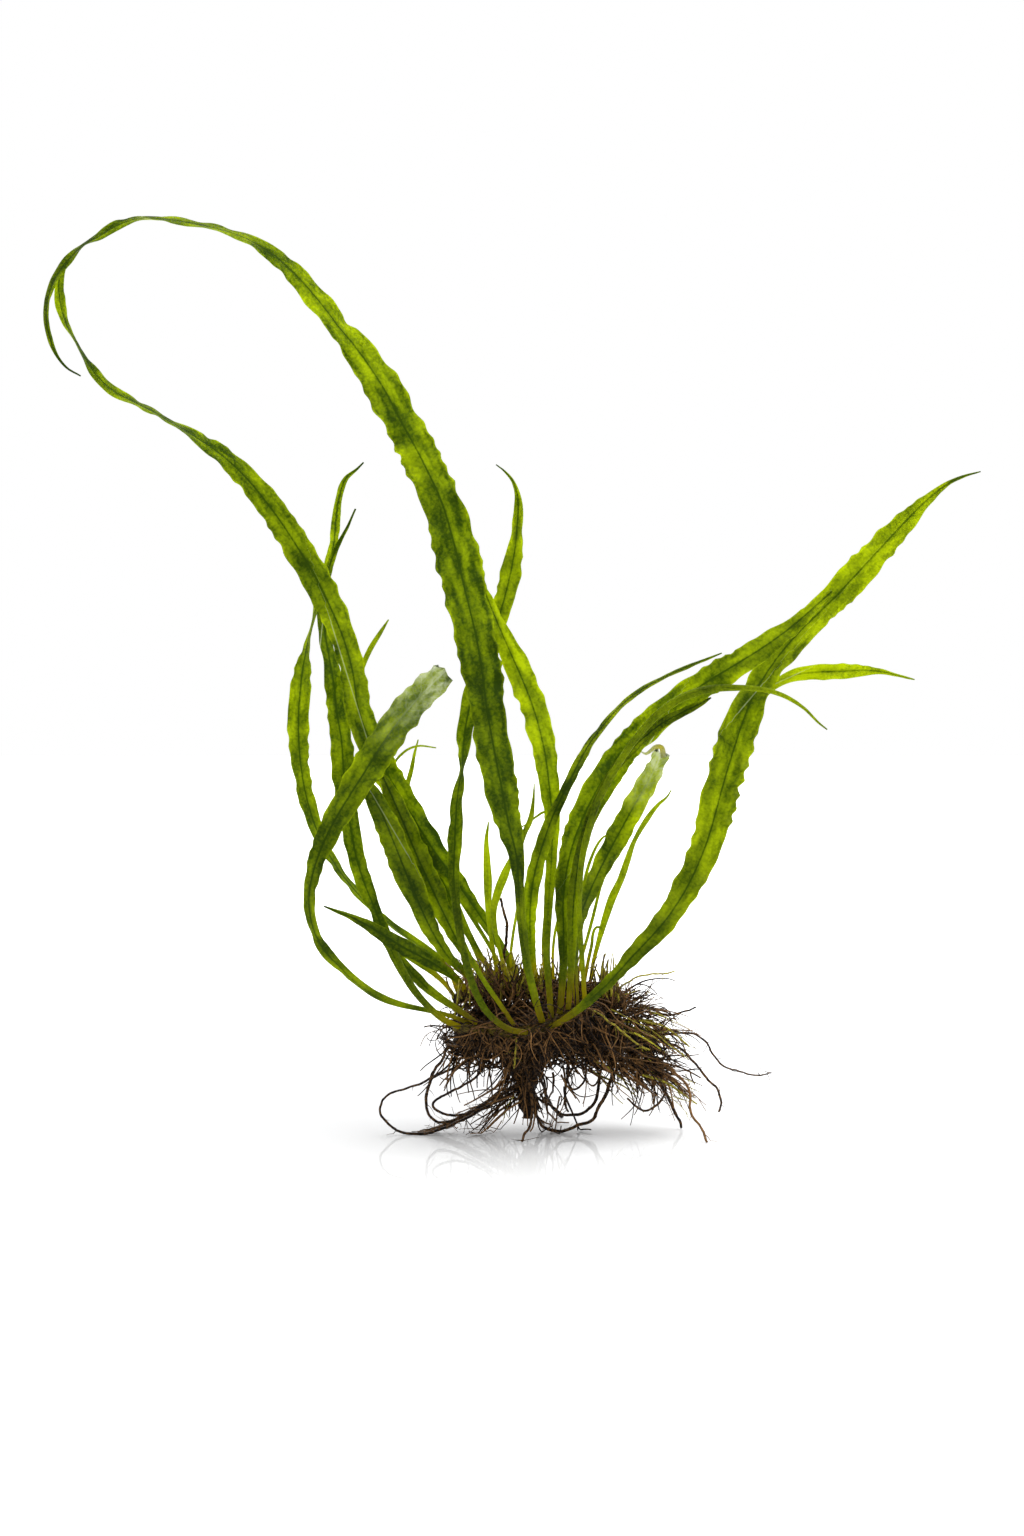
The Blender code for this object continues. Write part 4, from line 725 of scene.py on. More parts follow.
def build_clear_root(name, stations, seed):
    """One clear root, or a bundle of strands where several run together."""
    chance = random.Random(seed)
    route, length = smooth_route(stations)
    count = max(4, round(length / ROOT_STEP))
    fresh = name in OLIVE_ROOTS
    strands = STRANDS.get(name, 1)
    girth = GIRTHS.get(name, FRESH_GIRTH if fresh else ROOT_GIRTH)
    spacing = SIDE_ROOT_SPACING if strands == 1 else STRAND_SIDE_ROOT_SPACING
    root = Bundle()
    for strand in range(strands):
        shift = Vector(draw(chance, (0, 90), (0, 90), (0, 90)))
        start = 0 if strands == 1 else chance.randrange(0, count // 4 + 1)
        stop = count if strands == 1 else chance.randrange(count * 2 // 3, count + 1)
        spin = chance.uniform(0.0, FULL_TURN)
        strand_girth = chance.uniform(*STRAND_GIRTH)
        points = []
        radii = []
        for index in range(start, stop + 1):
            distance = length * index / count
            place, (radius,) = route(distance)
            wobble = Vector()
            for grain, reach in WOBBLES:
                wobble += noise.noise_vector(place * grain + shift) * reach
            if strands > 1:
                turn = spin + distance * STRAND_TWIST
                circle = Vector((0.3 * math.cos(turn), math.cos(turn), math.sin(turn)))
                wobble += circle * radius * STRAND_SPREAD
                radius *= strand_girth
            radius *= girth
            swell = 1.0 + SWELL * noise.noise(Vector((distance * SWELL_GRAIN, seed, strand)))
            place = place + wobble * min(1.0, distance / 4.0 + 0.2)
            place.z = max(place.z, radius * swell)
            points.append(place)
            radii.append(radius * swell)
        tone = chance.uniform(*(FRESH_TONES if fresh else DARK_TONES))
        if name in REDDISH_ROOTS:
            tone = chance.uniform(*REDDISH_TONES)
        root.add_tube(points, radii, 7, tone)
        for _ in range(round(length / spacing)):
            index = chance.randrange(1, len(points) - 1)
            heading = Vector(draw(chance, (-1, 1), (-1, 1), (-1.0, 0.6)))
            side_length = chance.uniform(*SIDE_ROOT_LENGTH)
            side_root = wander(chance, points[index], heading, side_length, 0.7, 0.6, 0.04)
            add_root(root, side_root, SIDE_ROOT_RADIUS, 4, tone)
    material, slot = (fresh_skin, "young_root") if fresh else (root_skin, "root")
    root.finish(name + "_strand", material, name)


for number, (root_name, root_stations) in enumerate(ROOT_STATIONS.items()):
    build_clear_root(root_name, root_stations, 100 + number)

# Long fronds: the two that arch far over to the left, one in front of all others and one behind it.
# Each is one leaf, a thin leathery blade with a raised midrib and ruffled margins on a round green stalk.
# It grows out of the rhizome as one piece, from the foot of the stalk to the curling tip.
LONG_FRONDS = {
    # light let through from foot to tip, partly painted light and shade; across, up, depth, width, and
    # degrees turned away from the front
    "frond_front_arch": ((0.50, 0.28, 0.24, 0.34, 0.47, 0.44, 0.34, 0.34), (
        (-0.8, 32, -16, 2.1), (-3, 39.5, -18.5, 2.2), (-5.3, 50, -20.5, 2.3), (-6.5, 60, -22.5, 2.6, 20),
        (-7.2, 70, -24.5, 3.2, 30), (-8, 79, -26, 4.8, 25), (-10, 87, -27, 7, 15),
        (-11.6, 95, -28, 8.3, 10), (-13.2, 103, -29, 9, 5), (-14.6, 110, -30, 9.4),
        (-16.4, 120, -31, 9.4, -10), (-17.5, 129, -32, 10.5, -5), (-19.3, 140, -33, 11),
        (-22.4, 153, -35, 11.2, 5), (-25.5, 166, -36, 11.2), (-29.2, 178, -37, 10.2, -10),
        (-34.8, 190, -39, 10), (-40.2, 200, -40, 9.6, 5), (-45.5, 210, -41, 9.6, 10),
        (-52.2, 220, -42, 8.4, 25), (-57.8, 227, -42.5, 7.6, 45), (-62.6, 233.2, -43, 7.4, 35),
        (-68.6, 240.2, -43, 7, 42), (-76, 247, -42.5, 6.4, 52), (-85, 252.2, -42, 6, 68),
        (-95, 255.1, -41, 5.8, 74), (-105, 256.8, -40, 5.4, 74), (-113, 257.2, -39, 4.8, 84),
        (-119, 255.6, -38, 4.2, 58), (-125, 252.1, -37, 3.8, 60), (-129.6, 249.4, -36, 3.4, 76),
        (-134, 245, -35, 3.2, 50), (-137.2, 240.4, -34, 2.8, 50), (-139.2, 235, -33, 2.4, 58),
        (-139.8, 229, -32, 2, 56), (-138.6, 223, -31, 1.5, 30), (-136.6, 218.4, -30.5, 0.9, 20),
        (-133.8, 215, -30, 0.6), (-130, 212.8, -29.5, 0.4),
    )),
    "frond_left_arch": ((0.24, 0.24, 0.36, 0.44, 0.32, 0.34, 0.50), (
        (-7.6, 43, 5, 2.2), (-10.6, 50, 4.6, 2.4), (-14.8, 56.8, 4, 2.8), (-19.2, 63.2, 3.4, 3.6),
        (-24.6, 71, 2.6, 4.8), (-30.6, 79.2, 1.6, 6), (-36, 87.6, 0.4, 6.9), (-41, 96, -1, 7.3),
        (-45.6, 104.2, -3, 7.3), (-50, 113, -5, 7.4), (-52.5, 121, -7, 7, 5), (-53.6, 129, -9, 7, 10),
        (-56, 138, -11, 6.8), (-59.6, 147, -12, 7.4), (-64.2, 156.4, -12, 7.8), (-70, 166, -11, 7.6),
        (-76.2, 175.2, -8, 7, 10), (-83.6, 184.4, -4, 6.5, 25), (-90.4, 190.8, 0, 6.1, 32),
        (-96.6, 195.2, 3, 5.4, 48), (-103, 199.2, 7, 5, 70), (-109.2, 202.8, 10, 4.8, 70),
        (-115.2, 205.8, 13, 4.6, 60), (-121, 209, 15, 4.2, 46), (-125.6, 213.4, 17, 4, 44),
        (-128.6, 217.8, 18, 3.6, 62), (-131, 222, 19, 3.4, 78), (-133.6, 226.8, 19.5, 3.4, 58),
        (-135.4, 232.4, 20, 3.7, 34), (-136, 238, 20, 3.4, 24), (-135.2, 243, 20, 2.4, 20),
        (-133, 247, 20, 0.7),
    )),
}
STALK_WIDTH = 2.0
BLADE_WIDTH = 3.5
STALK_FLATNESS = 0.78
CHANNEL = 0.10
BLADE_STEP = 0.75
BLADE_COLUMNS = 15
BLADE_THICK = 0.30
MARGIN_THICK = 0.10
MIDRIB_HEIGHT = 0.34
MIDRIB_REACH = 0.38
MIDRIB_BLADE = 4.0
RUFFLE_LENGTH = 12.0
RUFFLE_SHARE = 0.080
RUFFLE_LEAST = 0.12
RUFFLE_WARP = 5.0
WARP_GRAIN = 0.06
SWING = 0.75
SWING_VARIES = 0.6
SWING_GRAIN = 0.05
TURNED_CALM = 0.45
FOLD_SHADE = 0.16
SCALLOP_SWELL = 0.11
SCALLOP = 0.18
UNEVEN_GRAIN = 0.17
UNEVEN_SHARE = 0.055
UNEVEN_LEAST = 0.12
SLIM_LENGTH = 24.0
SLIM_SHARE = 0.88
WORN_WIDTH = 0.72
WORN_SWELL = 0.04
BITE_GRAIN = 0.30
BITE_DEPTH = 0.5
TEAR_LENGTH = 1.6
TEARS = (
    # depth, grain
    (2.4, 2.4), (0.5, 6.0),
)
DRY_PALE = 0.9
FOOT_LENGTH = 16.0
PUCKER = 0.13
PUCKER_GRAIN = 0.42
FROND_APART = 97.0
WIDER = {"frond_right_long": 1.12}
LEAF_MARKS = ("across", "along", "margin", "stalk", "pale", "light", "sheen")
# Shaded and lit copies of the leaf's colours, through it and on its top, mixed by each point's light mark of
# painted light and shade
LEAF_DEEP = (0.112, 0.170, 0.002, 1.0)
LEAF_LIT = (0.545, 0.615, 0.026, 1.0)
# Pale colours of worn tissue, also used for the painted sheen streaks
LEAF_PALE = (0.600, 0.630, 0.510, 1.0)
TOP_DEEP = (0.030, 0.048, 0.002, 1.0)
TOP_LIT = (0.110, 0.142, 0.003, 1.0)
TOP_STALK = (0.105, 0.130, 0.006, 1.0)
TOP_PALE = (0.270, 0.300, 0.220, 1.0)
FOOT_THROUGH = (0.520, 0.450, 0.025, 1.0)
FOOT_TOP = (0.150, 0.125, 0.010, 1.0)
LEAF_SPOTS = {
    # stretch along the leaf, scale and detail of the noise; its spread; darkest and lightest change
    "patch": (0.45, 0.42, 3.0, 0.16, -0.10, 0.14),
    "streak": (0.20, 0.36, 2.0, 0.14, -0.11, 0.21),
    "drift": (1.0, 0.06, 1.0, 0.14, -0.09, 0.12),
    "grain": (1.0, 1.2, 2.0, 0.16, -0.11, 0.12),
}
NET_SHADE = -0.13
VEIN_SHADE = -0.11
FLANK_SHADE = -0.06
RIM_LIGHT = 0.26
RIB_SHADE = -0.55
LEAF_GLOSS = 0.22
LET_THROUGH = (0.82, 0.93)
SHEEN_REACH = 0.28
NO_SHEEN = 9.0
# Painted sheen: pale streaks painted on seven blades where they would catch a glancing reflection
SHEEN_STREAKS = {
    # across and up of both ends, as it looks from the front
    "frond_left_arch": ((-59.7, 143), (-49.9, 111.4)), "frond_right_broad": ((12, 82), (33, 116)),
    "frond_right_long": ((54.5, 119), (60.5, 126)), "frond_left_inner_1": ((-48.5, 96), (-38.6, 79)),
    "frond_right_small": ((64, 126.4), (71, 129.6)), "frond_front_arch": ((-113, 257.2), (-96, 253.6)),
    "frond_left_wavy": ((-62, 146), (-64, 128)),
}


def build_leaf_group():
    """Living leaf: the colour of light that comes through, the colour of the top, roughness and height."""
    group, given, result = new_group(
        "leaf tissue", dict.fromkeys([mark.capitalize() for mark in LEAF_MARKS], "Float"),
        {"Through": "Color", "Top": "Color", "Roughness": "Float", "Height": "Float"})
    across = given["Across"]
    along = given["Along"]
    reach = calc(group, "ABSOLUTE", across)

    def skin_at(stretch):
        length = calc(group, "MULTIPLY", along, stretch)
        return put(group, "ShaderNodeCombineXYZ", {0: across, 1: length}).outputs[0]

    # Net of fine veins between slanting side veins
    place = skin_at(1.0)
    cells = put(group, "ShaderNodeTexVoronoi", {"Vector": place, "Scale": 0.62}, feature="DISTANCE_TO_EDGE")
    net = step_up(group, cells.outputs["Distance"], 0.0, 0.16, 1.0, 0.0)
    slant = calc(group, "DIVIDE", calc(group, "SUBTRACT", along, calc(group, "MULTIPLY", reach, 0.9)), 5.2)
    slant = calc(group, "ADD", slant, calc(group, "MULTIPLY", noise_at(group, place, 0.12, 2.0), 2.0))
    side_vein = step_up(group, calc(group, "PINGPONG", slant, 0.5), 0.0, 0.07, 1.0, 0.0)

    # Midrib, with thicker tissue beside it, and the thin rim
    midrib = step_up(group, reach, 0.10, 0.34, 1.0, 0.0)
    flank = step_up(group, reach, 0.25, 1.5, 1.0, 0.0)
    rim = step_up(group, given["Margin"], 0.86, 0.97)

    # Light that the thick and thin places let through, on top of the painted light and shade that each point
    # carries
    light = given["Light"]
    spots = {}
    for kind, (stretch, scale, detail, spread, darkest, lightest) in LEAF_SPOTS.items():
        spots[kind] = noise_at(group, skin_at(stretch), scale, detail)
        change = step_up(group, spots[kind], 0.5 - spread, 0.5 + spread, darkest, lightest)
        light = calc(group, "ADD", light, change)
    shades = ((net, NET_SHADE), (side_vein, VEIN_SHADE), (flank, FLANK_SHADE), (rim, RIM_LIGHT))
    for tissue, change in shades:
        light = calc(group, "ADD", light, calc(group, "MULTIPLY", tissue, change))
    blade = calc(group, "MAXIMUM", calc(group, "SUBTRACT", 1.0, given["Stalk"]), 0.0)
    rib = calc(group, "MULTIPLY", midrib, blade)
    living = calc(group, "SUBTRACT", 1.0, given["Pale"])
    rib_shade = calc(group, "MULTIPLY", calc(group, "MULTIPLY", rib, living), RIB_SHADE)
    light = clamp(group, calc(group, "ADD", light, rib_shade))
    # Painted light and shade: the through and top colours go from their shaded to their lit copy as the light
    # rises
    through = mix_colour(group, light, LEAF_DEEP, LEAF_LIT)
    top = mix_colour(group, light, TOP_DEEP, TOP_LIT)

    # Stalk, yellower towards its foot
    stalk = calc(group, "MINIMUM", given["Stalk"], 1.0)
    top = mix_colour(group, calc(group, "MULTIPLY", stalk, 0.8), top, TOP_STALK)
    foot = calc(group, "SUBTRACT", given["Stalk"], stalk)
    foot = calc(group, "ADD", foot, calc(group, "MULTIPLY", spots["patch"], 0.5))
    foot = step_up(group, foot, 0.35, 1.1, 0.0, 0.85)
    through = mix_colour(group, foot, through, FOOT_THROUGH)
    top = mix_colour(group, foot, top, FOOT_TOP)

    # Worn ends, where the veins stay palest, and painted sheen: pale streaks painted where a blade would
    # catch a glancing reflection
    veins = calc(group, "MAXIMUM", calc(group, "MULTIPLY", net, 0.6), side_vein)
    veins = calc(group, "MAXIMUM", rib, veins)
    mottle = step_up(group, spots["patch"], 0.40, 0.62, 0.25, 0.80)
    mottle = calc(group, "ADD", calc(group, "MULTIPLY", veins, 0.45), mottle)
    # Painted highlight: a pale line along each sheen streak; the worn share below carries it as well as the
    # real wear
    streak = calc(group, "ABSOLUTE", given["Sheen"])
    shine = step_up(group, streak, 0.0, SHEEN_REACH, 0.75, 0.0)
    worn = clamp(group, calc(group, "MAXIMUM", calc(group, "MULTIPLY", given["Pale"], mottle), shine))
    group.links.new(mix_colour(group, worn, through, LEAF_PALE), result["Through"])
    group.links.new(mix_colour(group, worn, top, TOP_PALE), result["Top"])
    group.links.new(step_up(group, spots["grain"], 0.3, 0.7, 0.30, 0.50), result["Roughness"])
    height = calc(group, "SUBTRACT", spots["patch"], calc(group, "MULTIPLY", net, 0.35))
    height = calc(group, "ADD", height, calc(group, "MULTIPLY", spots["grain"], 0.35))
    group.links.new(height, result["Height"])
    return group


def build_leaf_material():
    """Leaf with a waxy top that lets light through."""
    material, tree, surface = new_material("fern_leaf")
    marks = {mark.capitalize(): mark_of(tree, mark) for mark in LEAF_MARKS}
    tissue = put(tree, "ShaderNodeGroup", marks, node_tree=build_leaf_group()).outputs
    bump = put(tree, "ShaderNodeBump", {"Height": tissue["Height"], "Strength": 0.25, "Distance": 0.0001})
    top = put(tree, "ShaderNodeBsdfPrincipled", {
        "Base Color": tissue["Top"], "Roughness": tissue["Roughness"], "Specular IOR Level": LEAF_GLOSS,
        "Normal": bump.outputs[0]})
    inner = put(tree, "ShaderNodeBsdfTranslucent", {"Color": tissue["Through"]})
    edge_on = put(tree, "ShaderNodeLayerWeight", {"Blend": 0.35}).outputs["Facing"]
    share = step_up(tree, edge_on, 0.55, 1.0, *LET_THROUGH)
    mixed = put(tree, "ShaderNodeMixShader", {0: share, 1: top.outputs[0], 2: inner.outputs[0]})
    tree.links.new(mixed.outputs[0], surface)
    return material


leaf_material = build_leaf_material()


def ruffle_at(distance, side_phase, seed):
    """Wave of a margin, between -1 and 1, that never repeats exactly."""
    warp = noise.noise(Vector((distance * WARP_GRAIN, seed, side_phase)))
    swing = SWING + SWING_VARIES * noise.noise(Vector((distance * SWING_GRAIN, seed + 7.0, side_phase)))
    return swing * math.sin(FULL_TURN * distance / RUFFLE_LENGTH + side_phase + RUFFLE_WARP * warp)


def sheen_distance(place, streak):
    """Signed distance from a painted sheen streak between two places (across, up), as it looks from the
    front.
    """
    aim = Vector((AIM_ACROSS, 0.0, AIM_UP))
    sight = place + FOOT - EYE
    mark = EYE + sight * ((aim - EYE).length_squared / (aim - EYE).dot(sight))
    lift = (mark - aim).dot(Vector((0.0, math.sin(EYE_RISE), math.cos(EYE_RISE))))
    start = Vector(streak[0])
    spot = Vector((mark.x, AIM_UP + lift)) - start
    run = Vector(streak[1]) - start
    share = spot.dot(run) / run.length_squared
    beyond = max(-share, share - 1.0, 0.0) * run.length
    gap = spot.cross(run.normalized())
    return gap + math.copysign(beyond * 0.15, gap)


def blade_flatness(width):
    """How far the leaf is a flat blade at this width: 0 on the round stalk, 1 where it is wide."""
    return min(max((width - STALK_WIDTH) / (BLADE_WIDTH - STALK_WIDTH), 0.0), 1.0)


def blade_ring(route, length, distance, flat, girth, seed, light, ragged, least_pale):
    """Points round the leaf at a distance along it, with their marks; the light mark holds painted light and
    shade.
    """
    place, (width, turn) = route(distance)
    width *= girth * float(np.interp(distance, (0.0, SLIM_LENGTH), (SLIM_SHARE, 1.0)))
    along = (route(min(distance + 0.4, length))[0] - route(max(distance - 0.4, 0.0))[0]).normalized()
    face = Vector((0.0, -1.0, 0.0))
    face = (face - along * face.dot(along)).normalized()
    side = along.cross(face)
    angle = math.radians(turn)
    side, face = (side * math.cos(angle) + face * math.sin(angle),
                  face * math.cos(angle) - side * math.sin(angle))
    foot = max(0.0, 1.0 - distance / FOOT_LENGTH)
    worn = min(max((distance / length - ragged) / (1.0 - ragged), 0.0), 1.0) if ragged else 0.0
    if worn > 0.0:
        width = max(width, WORN_WIDTH * float(route(length * ragged)[1][0]))
    ruffled = flat * (1.0 - TURNED_CALM * abs(math.sin(angle)))
    half = BLADE_COLUMNS // 2
    ring = []
    marks = []
    for layer, columns in ((1, range(BLADE_COLUMNS)), (-1, range(BLADE_COLUMNS - 2, 0, -1))):
        for column in columns:
            share = math.sin(0.5 * math.pi * (column - half) / half)
            reach = abs(share)
            phase = 0.0 if share < 0.0 else 2.3
            wave = ruffle_at(distance, phase, seed)
            uneven = noise.noise(Vector((distance * UNEVEN_GRAIN, seed + phase, 3.0)))
            half_width = 0.5 * width * (1.0 + ruffled * (SCALLOP_SWELL - SCALLOP * abs(wave) ** 1.5))
            half_width += ruffled * (UNEVEN_SHARE * width + UNEVEN_LEAST) * uneven
            if worn > 0.0:
                bite = noise.noise(Vector((distance * BITE_GRAIN, seed + phase, 9.0)))
                half_width *= 1.0 + worn * (WORN_SWELL - BITE_DEPTH * max(bite - 0.05, 0.0))
                tear = TEAR_LENGTH + sum(depth * noise.noise(Vector((share * tear_grain, seed, 5.0)))
                                         for depth, tear_grain in TEARS)
                place = route(distance - worn ** 2 * tear)[0]
            offset = share * half_width
            lift = flat * CHANNEL * abs(offset)
            lift += ruffled * (RUFFLE_SHARE * width + RUFFLE_LEAST) * wave * reach ** 1.8
            grain = Vector((offset * PUCKER_GRAIN, distance * PUCKER_GRAIN, seed))
            lift += ruffled * PUCKER * noise.noise(grain)
            blade = MARGIN_THICK + (BLADE_THICK - MARGIN_THICK) * (1.0 - reach)
            rib = min(1.0, width / MIDRIB_BLADE) * MIDRIB_HEIGHT
            blade += rib * math.exp(-(offset / MIDRIB_REACH) ** 2)
            stalk = STALK_FLATNESS * width * math.sqrt(max(1.0 - share * share, 0.0))
            thick = 0.0 if reach > 0.999 else flat * min(blade, 0.6 * width) + (1.0 - flat) * stalk
            # Painted shade in the folds of the ruffled margin, added to the light mark
            fold = FOLD_SHADE * flat * (0.35 - abs(wave) - 0.4 * wave) * reach ** 1.5
            ring.append(place + side * offset + face * (lift + layer * 0.5 * thick))
            marks.append((offset, distance + FROND_APART * seed, reach, 1.0 - flat + foot,
                          max(worn, least_pale), light + fold))
    return ring, marks


def build_frond(name, glow, stations, seed, slot="leaf", ragged=None, dry_strip=None):
    """One leaf, ragged from a share of its length on, perhaps with a dry strip that has come away."""
    places = []
    faces = []
    rows = []
    size = 2 * BLADE_COLUMNS - 2
    strips = [(stations, ragged, 0.0)]
    if dry_strip:
        strips.append((dry_strip, None, DRY_PALE))
    for strip, ragged_from, least_pale in strips:
        # A station with no turn of its own faces the front
        route, length = smooth_route([(*station, 0)[:5] for station in strip])
        count = max(12, round(length / BLADE_STEP))
        faces += tube_faces(len(places), count + 1, size, flipped=True)
        flat = 0.0
        for index in range(count + 1):
            distance = length * index / count
            flat = max(flat, blade_flatness(route(distance)[1][0]))
            # Painted light and shade along the leaf, read from its glow table
            light = float(np.interp(index / count, np.linspace(0.0, 1.0, len(glow)), glow))
            ring, marks = blade_ring(route, length, distance, flat, WIDER.get(name, 1.0), seed, light,
                                     ragged_from, least_pale)
            places += ring
            rows += marks
    # Painted sheen: each point's distance from its leaf's painted highlight streak
    streak = SHEEN_STREAKS.get(name)
    sheen = [sheen_distance(place, streak) if streak else NO_SHEEN for place in places]
    marks = dict(zip(LEAF_MARKS, [*np.array(rows).T, sheen]))
    make_piece(name + "_leaf", places, faces, marks, leaf_material, name)


def build_fronds(fronds, first_seed, young=()):
    """One leaf after another."""
    for number, (name, (glow, stations)) in enumerate(fronds.items()):
        build_frond(name, glow, stations, first_seed + number, "young_leaf" if name in young else "leaf")


build_fronds(LONG_FRONDS, 1.0)

# Left fronds: a sheaf of narrower leaves that leans to the left, with three short ones low at the side.
# They are dark where they overlap and bright green where single blades stand against the light.
# All stand on the main rhizome, apart from the wavy one and a short one on the front rhizome.
LEFT_FRONDS = {
    # light let through from foot to tip, partly painted light and shade; across, up, depth, width, degrees
    # turned
    "frond_far_left": ((0.35, 0.46, 0.55), (
        (-24.2, 40, 5.6, 1.6), (-27.2, 47.4, 9.4, 1.9, 30), (-33, 52.4, 11.6, 2.4, 40),
        (-41, 58, 14, 3, 50), (-48, 63.6, 17, 3.4, 55), (-54, 70, 20, 3.8, 50), (-59.4, 77.4, 23, 4, 45),
        (-63.6, 85.4, 26, 4.6, 35), (-66.6, 94.6, 29, 5, 20), (-68.3, 104, 31.5, 5.2, 18),
        (-69, 114, 33, 6.1, 5), (-68.8, 121, 33.5, 6.1), (-68, 129, 33, 5.2, 10),
        (-66.8, 135.4, 31.5, 4.2, 50), (-65.7, 140.6, 29.5, 3.4, 78), (-64.6, 145.4, 27.5, 3.2, 68),
        (-63, 151.4, 25.5, 3.2, 40), (-61, 158, 23.5, 3.2, 30), (-59.2, 165, 21.5, 3, 28),
        (-58.5, 172, 19.5, 2.6, 20), (-57.6, 178.6, 18, 2.2, 20), (-55.8, 184, 17, 1.4, 10),
        (-52.6, 186.8, 16, 0.7), (-50.8, 188.6, 15.5, 0.35),
    )),
    "frond_left_wavy": ((0.42, 0.24, 0.38), (
        (-24, 30.6, -10.4, 1.8), (-28.4, 32.6, -14, 2), (-32.2, 35.8, -15.2, 2), (-36, 40, -14, 2.2, 10),
        (-39.3, 45, -11, 2.4, 15), (-42.3, 50.8, -7, 2.8, 10), (-45, 57, -3.6, 3.4, 10),
        (-47.4, 63.2, -1.6, 3.7, 15), (-50.2, 70, 0.4, 4.6, 10), (-52.6, 77.4, 2.4, 4.7, 10),
        (-54.2, 85.4, 4.4, 5.2, 5), (-55.8, 95, 6.4, 5.8), (-56.5, 104, 8, 6.4), (-57, 111, 9, 6),
        (-58.2, 118.6, 9.6, 5.3, 10), (-59.1, 126.4, 9.6, 5.2), (-60.4, 134.4, 8.8, 4, 20),
        (-61.6, 141.4, 7.6, 3.8, 15), (-62, 148.4, 6.6, 3.6, 10), (-61.2, 155.2, 6, 2.8, 20),
        (-59.8, 161, 5.6, 2, 20), (-57.8, 165.8, 5.4, 1.2), (-55.3, 170.6, 5.2, 0.8), (-53, 175.6, 5, 0.5),
    )),
    "frond_left_low": ((0.30, 0.26, 0.55), (
        (-22.2, 40.6, 0.4, 1.8), (-25.2, 44.4, -5, 2.4, 10), (-29.6, 47.4, -9, 3.2, 10),
        (-34.2, 50, -11, 4, 5), (-39.2, 52.6, -13, 4.2), (-44.2, 55.6, -14, 4), (-49, 58.6, -15, 3),
        (-53.6, 61, -16, 1.8), (-58, 62.8, -17, 1), (-62, 64.4, -17.5, 0.4),
    )),
    "frond_left_inner_1": ((0.50, 0.36, 0.40), (
        (-18.4, 42.2, 0.8, 1.8), (-22.6, 45.8, -3, 2.2), (-27, 50.2, -6, 3), (-30.6, 55.6, -8, 4.2),
        (-33.6, 61.4, -9, 5.4), (-36.6, 68.2, -10, 6.4), (-39.6, 75.4, -11, 6.8), (-42.6, 83, -12, 6.6),
        (-45.6, 90.2, -13, 6, 5), (-48.6, 96.4, -14, 4.2, 15), (-51, 101.4, -15, 0.9, 20),
    )),
    "frond_left_inner_2": ((0.55, 0.38, 0.46), (
        (-15.4, 42.8, 1.6, 1.8), (-19.6, 47.6, 0, 2.2), (-23.8, 53.4, -1, 3), (-27.2, 60, -2, 4.6),
        (-30.6, 67, -3, 5.8), (-33.8, 74, -4, 6.6), (-37, 81.2, -5, 6.3), (-40, 88.6, -6.4, 5.6),
        (-43, 95.4, -8, 4.2), (-46, 102, -9, 0.9),
    )),
    "frond_left_inner_3": ((0.50, 0.30, 0.46), (
        (-13, 43.2, 6.4, 1.6), (-18, 50.4, 7.4, 1.8), (-22, 57.6, 7.4, 2.2), (-25.4, 64.6, 7, 3),
        (-29, 72, 6.4, 3.8), (-33, 80, 5.6, 4), (-37, 88, 4.8, 3.2), (-40.6, 95.6, 4, 0.9),
    )),
    "frond_left_short": ((0.60, 0.50, 0.55), (
        (-19.2, 31.6, -11.4, 1.7), (-24, 35.2, -8.4, 1.9), (-28.4, 38, -6, 2.3), (-32.2, 40.8, -4, 2.7),
        (-35.6, 44, -2, 2.9), (-38.8, 47.4, 0.6, 2.7), (-42, 51.4, 3.4, 1.8), (-45, 55.4, 5.6, 0.6),
    )),
    "frond_left_pale": ((0.70, 0.50, 0.70), (
        (-25, 38.6, 2.6, 1.2), (-28, 42.6, 2.6, 1.5), (-31.2, 45.6, 3.6, 1.8), (-34.8, 48, 5.4, 1.8),
        (-38.4, 50, 7.6, 1.2), (-41.4, 51.4, 9.4, 0.5),
    )),
    "frond_hidden_left_1": ((0.45, 0.34, 0.60), (
        (-10.2, 43.2, 6.8, 1.1), (-15.4, 53, 11.4, 1.2), (-21.2, 62.4, 12.4, 1.3), (-28.6, 74, 11.6, 1.4),
        (-36, 86, 10, 1.5), (-43, 98.4, 7, 1.6), (-49, 110.4, 3.4, 1.7), (-52, 120, 0.4, 1.8),
        (-52.5, 127, -1.4, 1.8), (-50.9, 132, -2.4, 1.5), (-48.8, 136.6, -3, 1.5),
        (-46.2, 140.8, -3.4, 1.2), (-43.8, 144.6, -3.8, 0.35),
    )),
    "frond_hidden_left_2": ((0.45, 0.36, 0.60), (
        (-16.2, 42.6, 5.4, 0.8), (-19, 50, 12.6, 0.8), (-23.6, 60, 15.6, 0.9), (-30, 71.6, 16.4, 0.9),
        (-36, 83.6, 15.6, 0.9), (-40.6, 94, 13.6, 0.9), (-42.6, 103, 11.4, 0.8), (-39.6, 107.4, 9.6, 0.7),
        (-35.6, 109.2, 8.4, 0.6), (-30.5, 108.7, 7.4, 0.35),
    )),
    "frond_hidden_left_3": ((0.45, 0.38, 0.60), (
        (-19.4, 42, 5.4, 0.8), (-21.4, 49, 15, 0.8), (-24.4, 58, 20, 0.9), (-28.6, 67.6, 22, 0.9),
        (-33.6, 78.6, 22.6, 1), (-37.4, 89, 21.6, 1.1), (-38.6, 97, 20, 1.4), (-37.3, 103, 19, 1.3),
        (-36.5, 107.2, 18.4, 0.8), (-35.5, 111, 18, 0.35),
    )),
}
build_fronds(LEFT_FRONDS, 11.0, young=("frond_left_pale",))

